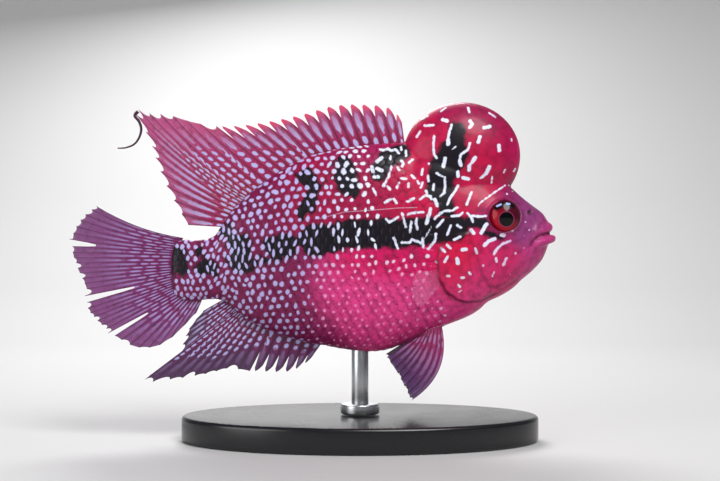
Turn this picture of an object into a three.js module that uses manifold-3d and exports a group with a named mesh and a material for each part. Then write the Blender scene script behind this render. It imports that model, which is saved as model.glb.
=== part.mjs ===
// Flowerhorn cichlid, a young fish at life size, still, on a plain display stand.
// Millimetres, +Z up. The head points to +X and the right flank faces -Y.
// The origin is the middle of the underside of the stand's base.

import * as THREE from 'three';
import { mergeVertices } from 'three/addons/utils/BufferGeometryUtils.js';
import Module from 'manifold-3d';

const wasm = await Module();
wasm.setup();

// Gaps and thicknesses
const GAP = 0.3; // between touching pieces
const MEMBRANE = 0.26; // half thickness of a fin's skin
const RAY_ROOT = 0.46; // half thickness at a ray, by the body
const RAY_TIP = 0.32; // half thickness at a ray, by the fin's edge
const ROOT_SINK = 1.6; // how far a fin's root starts inside the body, before it is cut clear
const GILL_PROUD = 0.45; // how far a gill cover stands above the flank
const GILL_DEPTH = 1.3; // how deep a gill cover goes into the head
const GILL_REACH = [3, 16]; // from the middle plane: where the gill covers' outline starts and ends
const CUT_REACH = 20; // how far a parting cut goes to each side
const WELD = 1e-4; // points closer than this are one
const SCRAP = 30; // cubic millimetres: a smaller piece is a scrap of the cuts

// Body stations from the snout to the tail: x, height of the back, height of the belly, half width
const BODY_STATIONS = [
  [44.8, 49.1, 49.1, 0],
  [44.6, 50.5, 47.2, 2.0],
  [43.9, 52.2, 44.9, 3.5],
  [42.7, 53.8, 42.3, 5.0],
  [40.4, 55.5, 39.8, 6.3],
  [38.0, 57.4, 37.8, 7.2],
  [35.9, 59.3, 35.8, 7.9],
  [33.0, 61.2, 34.0, 8.6],
  [30.2, 62.8, 32.7, 9.0],
  [27.8, 64.2, 30.6, 9.2],
  [24.8, 65.9, 28.9, 9.3],
  [18.9, 68.2, 26.6, 9.2],
  [12.0, 70.0, 23.6, 9.0],
  [5.9, 70.0, 21.3, 8.8],
  [0.0, 69.4, 21.1, 8.4],
  [-7.6, 68.1, 22.3, 7.7],
  [-14.2, 66.1, 23.6, 6.8],
  [-21.2, 61.9, 25.9, 5.7],
  [-27.1, 57.1, 28.9, 4.6],
  [-30.9, 53.1, 32.5, 3.6],
  [-34.2, 48.3, 33.3, 3.0],
  [-37.8, 47.2, 33.1, 2.5],
  [-41.1, 47.2, 33.1, 2.0],
  [-43.2, 46.5, 34.0, 1.5],
  [-44.2, 44.4, 36.6, 1.0],
  [-44.6, 40.6, 40.6, 0],
];
const BODY_RING = 28;
const ROWS_PER_STATION = 2;
const FLANK_FULLNESS = 0.88; // 1 is an ellipse, less is a flatter flank

// The nuchal hump over the forehead
const HUMP_CENTRE = [24.1, 67.2];
const HUMP_FRONT = 13.7;
const HUMP_REAR = 13.9;
const HUMP_RISE = 12.5;
const HUMP_DROP = 13.2;
const HUMP_HALF_WIDTH = 7.8;
const HUMP_RING = 24;
const HUMP_ROWS = 14;

// The nape fills the valley between the hump and the shoulder: x, z of its middle and its radii
const NAPE_CENTRE = [19.5, 61.5];
const NAPE_RADII = [14.0, 7.9, 7.5];
const NAPE_RING = 20;

// Eye: a flattened ball in its socket
const EYE_CENTRE = [33.3, 52.5];
const EYE_RADII = [3.75, 2.2, 4.1];
const EYE_SINK = 0.9;
const EYE_RING = 16;

// Mouth and nostrils
const LIP_CENTRE_X = 40.4;
const UPPER_LIP = { reach: 3.9, half: 5.4, z: 50.2, thick: 1.15, droop: 1.6 };
const LOWER_LIP = { reach: 4.8, half: 5.6, z: 47.6, thick: 1.0, droop: 1.4 };
const LIP_SWEEP = 1.2; // radians each side of the snout's middle
const LIP_STEPS = 10;
const LIP_SIDES = 8;
const NOSTRIL = [39.4, 53.5];
const NOSTRIL_RADIUS = 0.5;
const NOSTRIL_RING = 8;

// Thin cuts that part the head, jaw, hump, torso and tail stalk, each a line of x, z points
const HUMP_CUT = [
  [7.1, 79.9], [9.4, 70.4], [11.8, 64.2], [18.9, 61.2],
  [28.3, 59.0], [34.2, 59.0], [36.8, 60.4], [41.0, 63.0],
];
const NECK_CUT = [
  [17.6, 62.2], [19.6, 55.5], [20.3, 47.2], [20.3, 37.8], [22.7, 33.1], [27.8, 31.2], [31.2, 24.8],
];
const TAIL_CUT = [[-27.9, 63.4], [-30.4, 47.2], [-30.4, 26.0]];
const JAW_CUT = [[50.0, 49.1], [44.4, 48.8], [41.3, 47.5], [39.9, 44.9], [38.7, 41.1], [38.0, 33.0]];
const GILL_OUTLINE = [
  [25.3, 48.2], [21.8, 47.6], [19.1, 45.8], [18.0, 42.7], [18.3, 38.3], [19.8, 35.5],
  [22.3, 33.8], [24.7, 33.1], [27.6, 33.8], [28.1, 36.7], [27.8, 40.2], [27.1, 44.3],
];

// A parted piece, and a place near its middle
const FLESH_NODES = [
  ['nuchal_hump', 24, 69, '#b01548'],
  ['head', 32, 48, '#c03a78'],
  ['lower_jaw', 42, 43, '#b85a98'],
  ['torso', -5, 45, '#a83a80'],
  ['tail_stalk', -38, 40, '#7a3570'],
];

// All fins: where the lines of membrane lie between two rays, and how thin the outer edge gets
const MEMBRANE_LINES = [0.34, 0.66];
const EDGE_THINNING = 0.6;
const SOFT_NOTCH = 0.06; // how much of a ray's length the edge is nicked between soft rays

// Fin rays, front to rear: root x, z, tip x, z and how far the ray bows forward
const DORSAL_GUIDES = [
  [10.6, 69.4, 9.7, 76.0, 0],
  [8.5, 69.7, 6.6, 78.6, 0],
  [3.5, 69.4, 0.0, 79.3, 0],
  [-1.9, 68.9, -6.4, 78.9, 0],
  [-8.3, 67.8, -15.1, 76.5, 0],
  [-15.1, 65.6, -25.7, 74.6, 0],
  [-20.1, 62.6, -34.0, 74.2, 0],
  [-23.1, 60.2, -39.9, 75.2, 0.4],
  [-25.0, 58.6, -45.3, 76.8, 0.8],
  [-26.4, 57.6, -49.8, 77.2, 1.2],
  [-27.1, 56.9, -53.3, 77.9, 1.4],
  [-28.1, 56.2, -50.0, 71.5, 1.0],
  [-29.3, 55.0, -48.4, 66.8, 0.8],
  [-30.4, 53.8, -46.3, 61.2, 0.5],
  [-31.6, 52.2, -43.4, 55.5, 0.3],
  [-32.8, 50.3, -40.6, 50.8, 0],
];
const DORSAL_SPINES = 17;
const DORSAL_SOFT_RAYS = 12;
const DORSAL_SPINE_END = 6 / 15; // share of the guides that carries spines
const DORSAL_NOTCH = 0.12;
const DORSAL_WAVE = { height: 0.9, length: 9 };
const CAUDAL_GUIDES = [
  [-43.0, 48.2, -62.8, 55.6, 1.2],
  [-43.7, 46.8, -66.3, 52.9, 0.8],
  [-44.1, 45.3, -68.7, 48.9, 0.4],
  [-44.6, 43.9, -68.9, 44.9, 0],
  [-44.6, 42.0, -68.0, 41.6, 0],
  [-44.5, 40.4, -66.6, 38.5, 0],
  [-44.4, 39.0, -65.1, 35.2, 0],
  [-44.1, 37.6, -64.9, 31.2, 0],
  [-43.7, 36.4, -63.0, 28.6, 0],
  [-43.2, 35.2, -60.4, 26.2, 0],
  [-42.2, 34.0, -57.6, 24.1, 0],
  [-41.1, 33.1, -52.4, 21.6, 0],
  [-39.4, 32.6, -46.0, 22.9, 0],
  [-37.3, 33.1, -38.7, 30.0, 0],
];
const CAUDAL_RAYS = 25;
const CAUDAL_SPLITS = [[2.5, 0.25], [6.5, 0.53], [9.5, 0.5]]; // guide, how much of the ray is open
const CAUDAL_WAVE = { height: 1.6, middle: 34, length: 7 };
const ANAL_GUIDES = [
  [-9.0, 22.9, -12.0, 18.9, 0],
  [-11.3, 23.2, -14.2, 17.3, 0],
  [-14.2, 23.6, -17.0, 16.2, 0],
  [-17.7, 24.6, -21.2, 16.1, 0],
  [-21.7, 26.0, -26.0, 16.3, 0],
  [-24.1, 27.1, -30.9, 16.9, 0],
  [-26.0, 28.1, -35.4, 15.8, 0],
  [-27.4, 29.1, -40.1, 14.9, 0],
  [-28.3, 29.8, -45.3, 14.2, 0],
  [-29.0, 30.4, -51.0, 14.0, 0],
  [-29.7, 30.9, -43.4, 19.4, 0],
  [-30.4, 31.7, -41.7, 23.4, 0],
  [-31.2, 32.4, -40.1, 26.7, 0],
  [-32.1, 33.3, -37.0, 30.4, 0],
];
const ANAL_SPINES = 7;
const ANAL_SOFT_RAYS = 14;
const ANAL_SPINE_END = 4 / 13;
const ANAL_NOTCH = 0.16;
const ANAL_WAVE = { height: 0.9, length: 8 };
const PELVIC_GUIDES = [
  [18.4, 26.4, 11.4, 9.8, 3.6],
  [17.3, 26.0, 10.7, 11.6, 2.4],
  [15.8, 25.5, 9.2, 14.8, 1.2],
  [14.4, 24.9, 7.9, 17.3, 0.6],
  [13.0, 24.3, 6.0, 19.8, 0],
];
const PELVIC_RAYS = 6;
const PELVIC_NOTCH = 0.08;
const PELVIC_OUT = 3.6; // half the distance between the two roots
const PELVIC_CANT = 0.2; // how much the fin leans out for each mm down
const PELVIC_ROOT_Z = 25;

// Pectoral fins, in their own plane: distance from the root, height
const PECTORAL_GUIDES = [
  [0, 40.4, 13.4, 40.0, 0],
  [0, 39.4, 15.2, 37.9, 0],
  [0, 38.3, 15.6, 35.4, 0],
  [0, 37.2, 14.2, 33.4, 0],
  [0, 36.1, 10.6, 32.2, 0],
];
const PECTORAL_RAYS = 9;
const PECTORAL_NOTCH = 0.04;
const PECTORAL_ROOT = [17.9, 8.9]; // x, and distance from the fish's middle plane
const PECTORAL_FLARE = 1.14; // radians out from the flank

// Stand
const BASE_LENGTH = 84;
const BASE_WIDTH = 50;
const BASE_HEIGHT = 6;
const BASE_EDGE = 1.2;
const BASE_FOOT_EDGE = 0.5;
const BASE_SIDES = 56;
const ROD_RADIUS = 2.0;
const ROD_X = 0;
const ROD_TOP = 25;
const ROD_SIDES = 24;
const COLLAR_RADIUS = 4.6;
const COLLAR_HEIGHT = 2.4;
const COLLAR_EDGE = 0.5;

// Catmull-Rom through rows of numbers, at t from 0 to 1
function splineRows(rows, t) {
  const last = rows.length - 1;
  const place = Math.min(Math.max(t, 0), 1) * last;
  const i = Math.min(Math.floor(place), last - 1);
  const u = place - i;
  const row = (k) => rows[Math.min(Math.max(k, 0), last)];
  return rows[0].map((_, c) => {
    const [a, b, d, e] = [row(i - 1)[c], row(i)[c], row(i + 1)[c], row(i + 2)[c]];
    return b + 0.5 * u * (d - a + u * (2 * a - 5 * b + 4 * d - e + u * (3 * (b - d) + e - a)));
  });
}

// A mesh reduced to shared positions, as the joins and cuts need it
function bare(geometry) {
  const plain = geometry.clone();
  plain.deleteAttribute('normal');
  plain.deleteAttribute('uv');
  return mergeVertices(plain, WELD);
}

// The same mesh with its faces pointing out
function outward(mesh) {
  const position = mesh.getAttribute('position');
  const index = mesh.getIndex().array;
  const corner = (k) => new THREE.Vector3().fromBufferAttribute(position, index[k]);
  let volume = 0;
  for (let k = 0; k < index.length; k += 3) {
    volume += corner(k).dot(new THREE.Vector3().crossVectors(corner(k + 1), corner(k + 2)));
  }
  if (volume < 0) index.reverse();
  return mesh;
}

function solidOf(geometry) {
  const mesh = outward(bare(geometry));
  return new wasm.Manifold(new wasm.Mesh({
    numProp: 3,
    vertProperties: Float32Array.from(mesh.getAttribute('position').array),
    triVerts: Uint32Array.from(mesh.getIndex().array),
  }));
}

function largestOf(solid) {
  const pieces = solid.decompose();
  return pieces.reduce((best, piece) => (piece.volume() > best.volume() ? piece : best));
}

function geometryOf(solid) {
  const mesh = largestOf(solid).getMesh();
  const geometry = new THREE.BufferGeometry();
  geometry.setAttribute('position', new THREE.BufferAttribute(mesh.vertProperties, 3));
  geometry.setIndex(new THREE.BufferAttribute(mesh.triVerts, 1));
  geometry.computeVertexNormals();
  return geometry;
}

// A closed mesh pushed out (or in) along its normals
function swollen(geometry, distance) {
  const mesh = bare(geometry);
  mesh.computeVertexNormals();
  const position = mesh.getAttribute('position');
  const normal = mesh.getAttribute('normal');
  for (let i = 0; i < position.count; i += 1) {
    position.setXYZ(
      i,
      position.getX(i) + distance * normal.getX(i),
      position.getY(i) + distance * normal.getY(i),
      position.getZ(i) + distance * normal.getZ(i),
    );
  }
  return mesh;
}

// A sphere whose poles lie at the snout and the tail, each vertex moved by place(t, angle)
function warpedSphere(ring, rows, place) {
  const geometry = new THREE.SphereGeometry(1, ring, rows);
  const position = geometry.getAttribute('position');
  for (let i = 0; i < position.count; i += 1) {
    const t = Math.acos(THREE.MathUtils.clamp(position.getY(i), -1, 1)) / Math.PI;
    const angle = Math.atan2(position.getZ(i), -position.getX(i));
    position.setXYZ(i, ...place(t, angle));
  }
  return outward(bare(geometry));
}

function flankPoint(t, angle) {
  const [x, top, bottom, half] = splineRows(BODY_STATIONS, t);
  const across = Math.cos(angle);
  const up = Math.sin(angle);
  const y = half * Math.sign(across) * Math.abs(across) ** FLANK_FULLNESS;
  return [x, -y, (top + bottom) / 2 + (up * (top - bottom)) / 2];
}

function bodyGeometry() {
  return warpedSphere(BODY_RING, (BODY_STATIONS.length - 1) * ROWS_PER_STATION, flankPoint);
}

function humpGeometry() {
  const geometry = new THREE.SphereGeometry(1, HUMP_RING, HUMP_ROWS);
  const position = geometry.getAttribute('position');
  for (let i = 0; i < position.count; i += 1) {
    const [x, y, z] = [position.getX(i), position.getZ(i), position.getY(i)];
    position.setXYZ(
      i,
      HUMP_CENTRE[0] + x * (x > 0 ? HUMP_FRONT : HUMP_REAR),
      -y * HUMP_HALF_WIDTH,
      HUMP_CENTRE[1] + z * (z > 0 ? HUMP_RISE : HUMP_DROP),
    );
  }
  return outward(bare(geometry));
}

// Half width of the flank at a place seen from the side
function flankHalfWidth(x, z) {
  let best = BODY_STATIONS[0];
  const steps = 400;
  for (let i = 0; i <= steps; i += 1) {
    const row = splineRows(BODY_STATIONS, i / steps);
    if (Math.abs(row[0] - x) < Math.abs(best[0] - x)) best = row;
  }
  const [, top, bottom, half] = best;
  const up = THREE.MathUtils.clamp((z - (top + bottom) / 2) / ((top - bottom) / 2), -1, 1);
  return half * Math.sqrt(1 - up * up) ** FLANK_FULLNESS;
}

// A wall of even thickness that follows a line seen from the side, right through the fish
function wallAlong(line, thickness, reach) {
  const left = [];
  const right = [];
  line.forEach((point, i) => {
    const before = line[Math.max(i - 1, 0)];
    const after = line[Math.min(i + 1, line.length - 1)];
    const run = new THREE.Vector2(after[0] - before[0], after[1] - before[1]).normalize();
    const side = new THREE.Vector2(-run.y, run.x).multiplyScalar(thickness / 2);
    left.push(new THREE.Vector2(point[0] + side.x, point[1] + side.y));
    right.push(new THREE.Vector2(point[0] - side.x, point[1] - side.y));
  });
  return prism([...left, ...right.reverse()], -reach, reach);
}

// An outline of x, z points pushed from y = from to y = to
function prism(outline, from, to) {
  const shape = new THREE.Shape(outline.map((p) => new THREE.Vector2(p.x, p.y)));
  const geometry = new THREE.ExtrudeGeometry(shape, { depth: to - from, bevelEnabled: false });
  geometry.rotateX(Math.PI / 2);
  geometry.translate(0, to, 0);
  return solidOf(geometry);
}

// An outline that runs counter-clockwise, grown all round
function grownOutline(points, distance) {
  const count = points.length;
  return points.map((point, i) => {
    const before = points[(i + count - 1) % count];
    const after = points[(i + 1) % count];
    const run = new THREE.Vector2(after[0] - before[0], after[1] - before[1]).normalize();
    return new THREE.Vector2(point[0] + run.y * distance, point[1] - run.x * distance);
  });
}

function meshOf(points, triangles) {
  const geometry = new THREE.BufferGeometry().setFromPoints(points);
  geometry.setIndex(triangles.flat());
  return geometry;
}

function spread(from, to, count) {
  return Array.from({ length: count }, (_, k) => from + ((to - from) * k) / (count - 1));
}

// Places along the guides whose ray tips are evenly spaced along the fin's edge
function evenly(guides, from, to, count) {
  const places = spread(from, to, 400);
  const way = [0];
  places.slice(1).forEach((place, k) => {
    const [, , x, z] = splineRows(guides, place);
    const [, , lastX, lastZ] = splineRows(guides, places[k]);
    way.push(way[k] + Math.hypot(x - lastX, z - lastZ));
  });
  return spread(0, way[way.length - 1], count).map((wanted) => {
    const past = way.findIndex((far) => far >= wanted);
    return past < 0 ? to : places[past];
  });
}

// Columns of a fin: each ray, then two lines of membrane before the next ray
function finColumns(rays, cutAt) {
  const columns = [];
  rays.forEach((s, k) => {
    columns.push({ s, ray: true, cut: 0 });
    if (k === rays.length - 1) return;
    for (const share of MEMBRANE_LINES) {
      const at = s + (rays[k + 1] - s) * share;
      columns.push({ s: at, ray: false, cut: cutAt(k, share, s, rays[k + 1]) });
    }
  });
  return columns;
}

// A fin: one closed sheet with its rays raised on both faces
function finGeometry({ guides, rays, rows, cutAt, place, normal }) {
  const columns = finColumns(rays, cutAt);
  const front = [];
  const back = [];
  columns.forEach((column) => {
    const [rootA, rootZ, tipA, tipZ, bow] = splineRows(guides, column.s);
    const length = Math.hypot(tipA - rootA, tipZ - rootZ);
    const alongA = (tipA - rootA) / length;
    const alongZ = (tipZ - rootZ) / length;
    for (let j = 0; j <= rows; j += 1) {
      const v = (j / rows) * (1 - column.cut);
      const d = -ROOT_SINK + v * (length + ROOT_SINK);
      const side = 4 * bow * Math.max(v, 0) * (1 - v);
      const a = rootA + alongA * d - alongZ * side;
      const z = rootZ + alongZ * d + alongA * side;
      const edge = j === rows ? EDGE_THINNING : 1;
      const half = edge * (column.ray ? RAY_ROOT + (RAY_TIP - RAY_ROOT) * v : MEMBRANE);
      const middle = place(a, z, v);
      front.push(middle.clone().addScaledVector(normal, half));
      back.push(middle.clone().addScaledVector(normal, -half));
    }
  });
  const points = [...front, ...back];
  const across = columns.length;
  const down = rows + 1;
  const other = front.length;
  const at = (i, j) => i * down + j;
  const triangles = [];
  const quad = (a, b, c, d) => triangles.push([a, b, c], [a, c, d]);
  for (let i = 0; i < across - 1; i += 1) {
    for (let j = 0; j < rows; j += 1) {
      const [a, b, c, d] = [at(i, j), at(i + 1, j), at(i + 1, j + 1), at(i, j + 1)];
      triangles.push([a, b, c], [a, c, d]);
      triangles.push([a + other, c + other, b + other], [a + other, d + other, c + other]);
    }
    quad(at(i + 1, 0), at(i, 0), at(i, 0) + other, at(i + 1, 0) + other);
    quad(at(i, rows), at(i + 1, rows), at(i + 1, rows) + other, at(i, rows) + other);
  }
  for (let j = 0; j < rows; j += 1) {
    quad(at(0, j), at(0, j + 1), at(0, j + 1) + other, at(0, j) + other);
    const end = across - 1;
    quad(at(end, j + 1), at(end, j), at(end, j) + other, at(end, j + 1) + other);
  }
  return meshOf(points, triangles);
}

function ball(centre, radii, segments) {
  const geometry = new THREE.SphereGeometry(1, segments, segments / 2);
  geometry.scale(...radii);
  geometry.translate(...centre);
  return outward(bare(geometry));
}

const body = bodyGeometry();
const hump = humpGeometry();
const nape = ball([NAPE_CENTRE[0], 0, NAPE_CENTRE[1]], NAPE_RADII, NAPE_RING);
const masses = [body, hump, nape];
const joined = (solids) => solids.reduce((whole, solid) => whole.add(solid));
const flesh = joined(masses.map(solidOf));
const clearOfFlesh = joined(masses.map((mass) => solidOf(swollen(mass, GAP))));

function lip({ reach, half, z, thick, droop }) {
  const points = spread(-LIP_SWEEP, LIP_SWEEP, 13).map((angle) => new THREE.Vector3(
    LIP_CENTRE_X + reach * Math.cos(angle),
    half * Math.sin(angle),
    z - droop * (1 - Math.cos(angle)),
  ));
  const section = new THREE.Shape();
  section.absellipse(0, 0, thick, thick, 0, 2 * Math.PI);
  const path = new THREE.CatmullRomCurve3(points);
  return solidOf(new THREE.ExtrudeGeometry(section, {
    steps: LIP_STEPS,
    extrudePath: path,
    curveSegments: LIP_SIDES / 2,
  }));
}

// In what follows, side is -1 for the right flank and 1 for the left
function eyeGeometry(side, extra) {
  const [x, z] = EYE_CENTRE;
  const y = side * (flankHalfWidth(x, z) - EYE_SINK);
  return ball([x, y, z], EYE_RADII.map((radius) => radius + extra), EYE_RING);
}

function nostril(side) {
  const [x, z] = NOSTRIL;
  const y = side * flankHalfWidth(x, z);
  return solidOf(ball([x, y, z], [NOSTRIL_RADIUS, NOSTRIL_RADIUS, NOSTRIL_RADIUS], NOSTRIL_RING));
}

function gillPrism(side, extra) {
  const outline = grownOutline(GILL_OUTLINE, extra);
  const [near, far] = GILL_REACH;
  return side < 0 ? prism(outline, -far, -near) : prism(outline, near, far);
}

function gillCover(side) {
  const outer = solidOf(swollen(body, GILL_PROUD));
  const inner = solidOf(swollen(body, -GILL_DEPTH));
  return outer.intersect(gillPrism(side, 0)).subtract(inner);
}

function gillPocket(side) {
  return gillPrism(side, GAP).subtract(solidOf(swollen(body, -GILL_DEPTH - GAP)));
}

// The whole fish with its sockets and pockets, parted by the thin cuts
function fleshPieces() {
  let whole = flesh.add(lip(UPPER_LIP)).add(lip(LOWER_LIP));
  for (const side of [-1, 1]) {
    whole = whole.subtract(solidOf(eyeGeometry(side, GAP)));
    whole = whole.subtract(nostril(side));
    whole = whole.subtract(gillPocket(side));
  }
  for (const line of [HUMP_CUT, NECK_CUT, TAIL_CUT, JAW_CUT]) {
    whole = whole.subtract(wallAlong(line, GAP, CUT_REACH));
  }
  return whole.decompose();
}

function pieceNearest(pieces, x, z) {
  const far = (piece) => {
    const { min, max } = piece.boundingBox();
    return Math.hypot((min[0] + max[0]) / 2 - x, (min[2] + max[2]) / 2 - z);
  };
  const real = pieces.filter((piece) => piece.volume() > SCRAP);
  return real.reduce((best, piece) => (far(piece) < far(best) ? piece : best));
}

const upright = new THREE.Vector3(0, 1, 0);

// How far a fin's skin swings aside, more towards its edge
function waved({ height, middle = 0, length }, along, v) {
  return height * v * v * Math.sin((along - middle) / length);
}

function dorsalFin() {
  const rays = [
    ...evenly(DORSAL_GUIDES, 0, DORSAL_SPINE_END, DORSAL_SPINES),
    ...spread(DORSAL_SPINE_END, 1, DORSAL_SOFT_RAYS + 1).slice(1),
  ];
  return solidOf(finGeometry({
    guides: DORSAL_GUIDES,
    rays,
    rows: 3,
    cutAt: (k, share) => (k < DORSAL_SPINES ? DORSAL_NOTCH * (0.6 + share) : SOFT_NOTCH),
    place: (x, z, v) => new THREE.Vector3(x, waved(DORSAL_WAVE, x, v), z),
    normal: upright,
  })).subtract(clearOfFlesh);
}

function caudalFin() {
  const last = CAUDAL_GUIDES.length - 1;
  const rays = spread(0, 1, CAUDAL_RAYS);
  const splitAt = (from, to) => CAUDAL_SPLITS.find(([place]) => {
    const s = place / last;
    return s > from && s <= to;
  });
  return solidOf(finGeometry({
    guides: CAUDAL_GUIDES,
    rays,
    rows: 4,
    cutAt: (k, share, from, to) => (splitAt(from, to) ? splitAt(from, to)[1] : SOFT_NOTCH),
    place: (x, z, v) => new THREE.Vector3(x, waved(CAUDAL_WAVE, z, v), z),
    normal: upright,
  })).subtract(clearOfFlesh);
}

function analFin() {
  const rays = [
    ...evenly(ANAL_GUIDES, 0, ANAL_SPINE_END, ANAL_SPINES),
    ...spread(ANAL_SPINE_END, 1, ANAL_SOFT_RAYS + 1).slice(1),
  ];
  return solidOf(finGeometry({
    guides: ANAL_GUIDES,
    rays,
    rows: 3,
    cutAt: (k, share) => (k < ANAL_SPINES ? ANAL_NOTCH * (0.6 + share) : SOFT_NOTCH),
    place: (x, z, v) => new THREE.Vector3(x, waved(ANAL_WAVE, x, v), z),
    normal: upright,
  })).subtract(clearOfFlesh);
}

function pelvicFin(side) {
  const lean = (z) => PELVIC_OUT + PELVIC_CANT * Math.max(PELVIC_ROOT_Z - z, 0);
  return solidOf(finGeometry({
    guides: PELVIC_GUIDES,
    rays: spread(0, 1, PELVIC_RAYS),
    rows: 4,
    cutAt: () => PELVIC_NOTCH,
    place: (x, z) => new THREE.Vector3(x, side * lean(z), z),
    normal: upright,
  })).subtract(clearOfFlesh);
}

function pectoralFin(side) {
  const out = new THREE.Vector3(-Math.cos(PECTORAL_FLARE), side * Math.sin(PECTORAL_FLARE), 0);
  const [x, y] = PECTORAL_ROOT;
  const clearOfGill = solidOf(swollen(body, GILL_PROUD + GAP)).intersect(gillPrism(side, GAP));
  return solidOf(finGeometry({
    guides: PECTORAL_GUIDES,
    rays: spread(0, 1, PECTORAL_RAYS),
    rows: 2,
    cutAt: () => PECTORAL_NOTCH,
    place: (d, z) => new THREE.Vector3(x, side * y, z).addScaledVector(out, d),
    normal: new THREE.Vector3(Math.sin(PECTORAL_FLARE), side * Math.cos(PECTORAL_FLARE), 0),
  })).subtract(clearOfFlesh).subtract(clearOfGill);
}

function standBase() {
  const radius = BASE_LENGTH / 2;
  const profile = [
    [0, 0],
    [radius - BASE_FOOT_EDGE, 0],
    [radius, BASE_FOOT_EDGE],
    [radius, BASE_HEIGHT - BASE_EDGE],
    [radius - BASE_EDGE, BASE_HEIGHT],
    [0, BASE_HEIGHT],
  ].map(([r, z]) => new THREE.Vector2(r, z));
  const geometry = new THREE.LatheGeometry(profile, BASE_SIDES);
  geometry.rotateX(Math.PI / 2);
  geometry.scale(1, BASE_WIDTH / BASE_LENGTH, 1);
  return geometryOf(solidOf(geometry));
}

function standRod() {
  const foot = BASE_HEIGHT + GAP;
  const geometry = new THREE.CylinderGeometry(ROD_RADIUS, ROD_RADIUS, ROD_TOP - foot, ROD_SIDES);
  geometry.rotateX(Math.PI / 2);
  geometry.translate(ROD_X, 0, (ROD_TOP + foot) / 2);
  return geometryOf(solidOf(geometry).subtract(clearOfFlesh));
}

// A ring round the rod's foot
function standCollar() {
  const inner = ROD_RADIUS + GAP;
  const foot = BASE_HEIGHT + GAP;
  const top = foot + COLLAR_HEIGHT;
  const profile = [
    [inner, foot],
    [COLLAR_RADIUS, foot],
    [COLLAR_RADIUS, top - COLLAR_EDGE],
    [COLLAR_RADIUS - COLLAR_EDGE, top],
    [inner, top],
    [inner, foot],
  ].map(([r, z]) => new THREE.Vector2(r, z));
  const geometry = new THREE.LatheGeometry(profile, ROD_SIDES);
  geometry.rotateX(Math.PI / 2);
  geometry.translate(ROD_X, 0, 0);
  return geometryOf(solidOf(geometry));
}

function finish(color, roughness, metalness) {
  return new THREE.MeshStandardMaterial({ color, roughness, metalness });
}

const group = new THREE.Group();

function addNode(name, geometry, material) {
  const mesh = new THREE.Mesh(geometry, material);
  mesh.name = name;
  group.add(mesh);
}

const pieces = fleshPieces();
for (const [name, x, z, color] of FLESH_NODES) {
  addNode(name, geometryOf(pieceNearest(pieces, x, z)), finish(color, 0.35, 0));
}

for (const [label, side] of [['right', -1], ['left', 1]]) {
  addNode(`gill_cover_${label}`, geometryOf(gillCover(side)), finish('#d0184a', 0.3, 0));
  addNode(`eye_${label}`, geometryOf(solidOf(eyeGeometry(side, 0))), finish('#7a0a20', 0.08, 0));
  addNode(`pectoral_fin_${label}`, geometryOf(pectoralFin(side)), finish('#d9a8d8', 0.4, 0));
  addNode(`pelvic_fin_${label}`, geometryOf(pelvicFin(side)), finish('#8a5a9e', 0.4, 0));
}

addNode('dorsal_fin', geometryOf(dorsalFin()), finish('#b0568f', 0.4, 0));
addNode('caudal_fin', geometryOf(caudalFin()), finish('#7d4a95', 0.4, 0));
addNode('anal_fin', geometryOf(analFin()), finish('#85508f', 0.4, 0));
addNode('stand_base', standBase(), finish('#17171a', 0.3, 0));
addNode('stand_rod', standRod(), finish('#b9bcc0', 0.3, 1));
addNode('stand_collar', standCollar(), finish('#b9bcc0', 0.3, 1));

export default group;
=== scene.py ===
# %% [markdown]
# # A young flowerhorn cichlid on a display stand
# The fish is a still model at life size. The solids of the part give its true outline. Here one skin
# goes over them, and on it lie the scales, the finer fins, the eyes and the finish of the stand.
# All lengths below are millimetres on the real fish, and MM turns them into Blender's metres.

# %% Load the frame
import bpy
import numpy as np
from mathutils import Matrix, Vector


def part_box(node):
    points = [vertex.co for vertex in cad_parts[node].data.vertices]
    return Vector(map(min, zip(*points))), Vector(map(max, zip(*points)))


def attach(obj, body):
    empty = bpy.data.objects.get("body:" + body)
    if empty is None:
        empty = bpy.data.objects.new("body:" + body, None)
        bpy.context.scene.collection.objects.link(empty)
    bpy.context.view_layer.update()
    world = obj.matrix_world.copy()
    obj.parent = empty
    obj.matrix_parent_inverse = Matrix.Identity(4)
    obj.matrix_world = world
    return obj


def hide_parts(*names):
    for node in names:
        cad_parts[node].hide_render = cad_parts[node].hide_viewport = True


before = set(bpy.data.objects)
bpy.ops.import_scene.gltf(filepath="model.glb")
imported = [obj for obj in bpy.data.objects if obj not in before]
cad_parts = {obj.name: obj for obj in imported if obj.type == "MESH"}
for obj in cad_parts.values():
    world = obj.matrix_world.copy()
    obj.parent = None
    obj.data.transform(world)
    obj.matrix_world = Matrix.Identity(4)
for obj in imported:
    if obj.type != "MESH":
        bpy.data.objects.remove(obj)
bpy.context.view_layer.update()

MM = 0.001
rng = np.random.default_rng(7)

# %% [markdown]
# ## The camera
# The photograph looks at the right flank from level with the fish. A 70 mm lens from a third of a
# metre away gives the same framing, with the fish's middle plane at the photograph's scale.
# Marks are placed as they look from there. The flank bulges towards the camera, so a mark on it is
# drawn a little nearer the middle of the view than it seems: `as_seen` undoes that.

# %% Camera
LENS = 70
SENSOR = 36
VIEW_WIDTH = 169.92
VIEW_HEIGHT_MID = 47.1
DISTANCE = VIEW_WIDTH * LENS / SENSOR


def clear_selection():
    for thing in bpy.context.selected_objects:
        thing.select_set(False)


clear_selection()
bpy.ops.object.camera_add(
    location=(0, -DISTANCE * MM, VIEW_HEIGHT_MID * MM), rotation=(np.pi / 2, 0, 0)
)
camera = bpy.context.object
camera.name = "camera"
camera.data.lens = LENS
camera.data.sensor_width = SENSOR
camera.data.clip_start = 0.01
bpy.context.scene.camera = camera
print("camera is", round(DISTANCE), "mm from the fish's middle plane")


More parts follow.
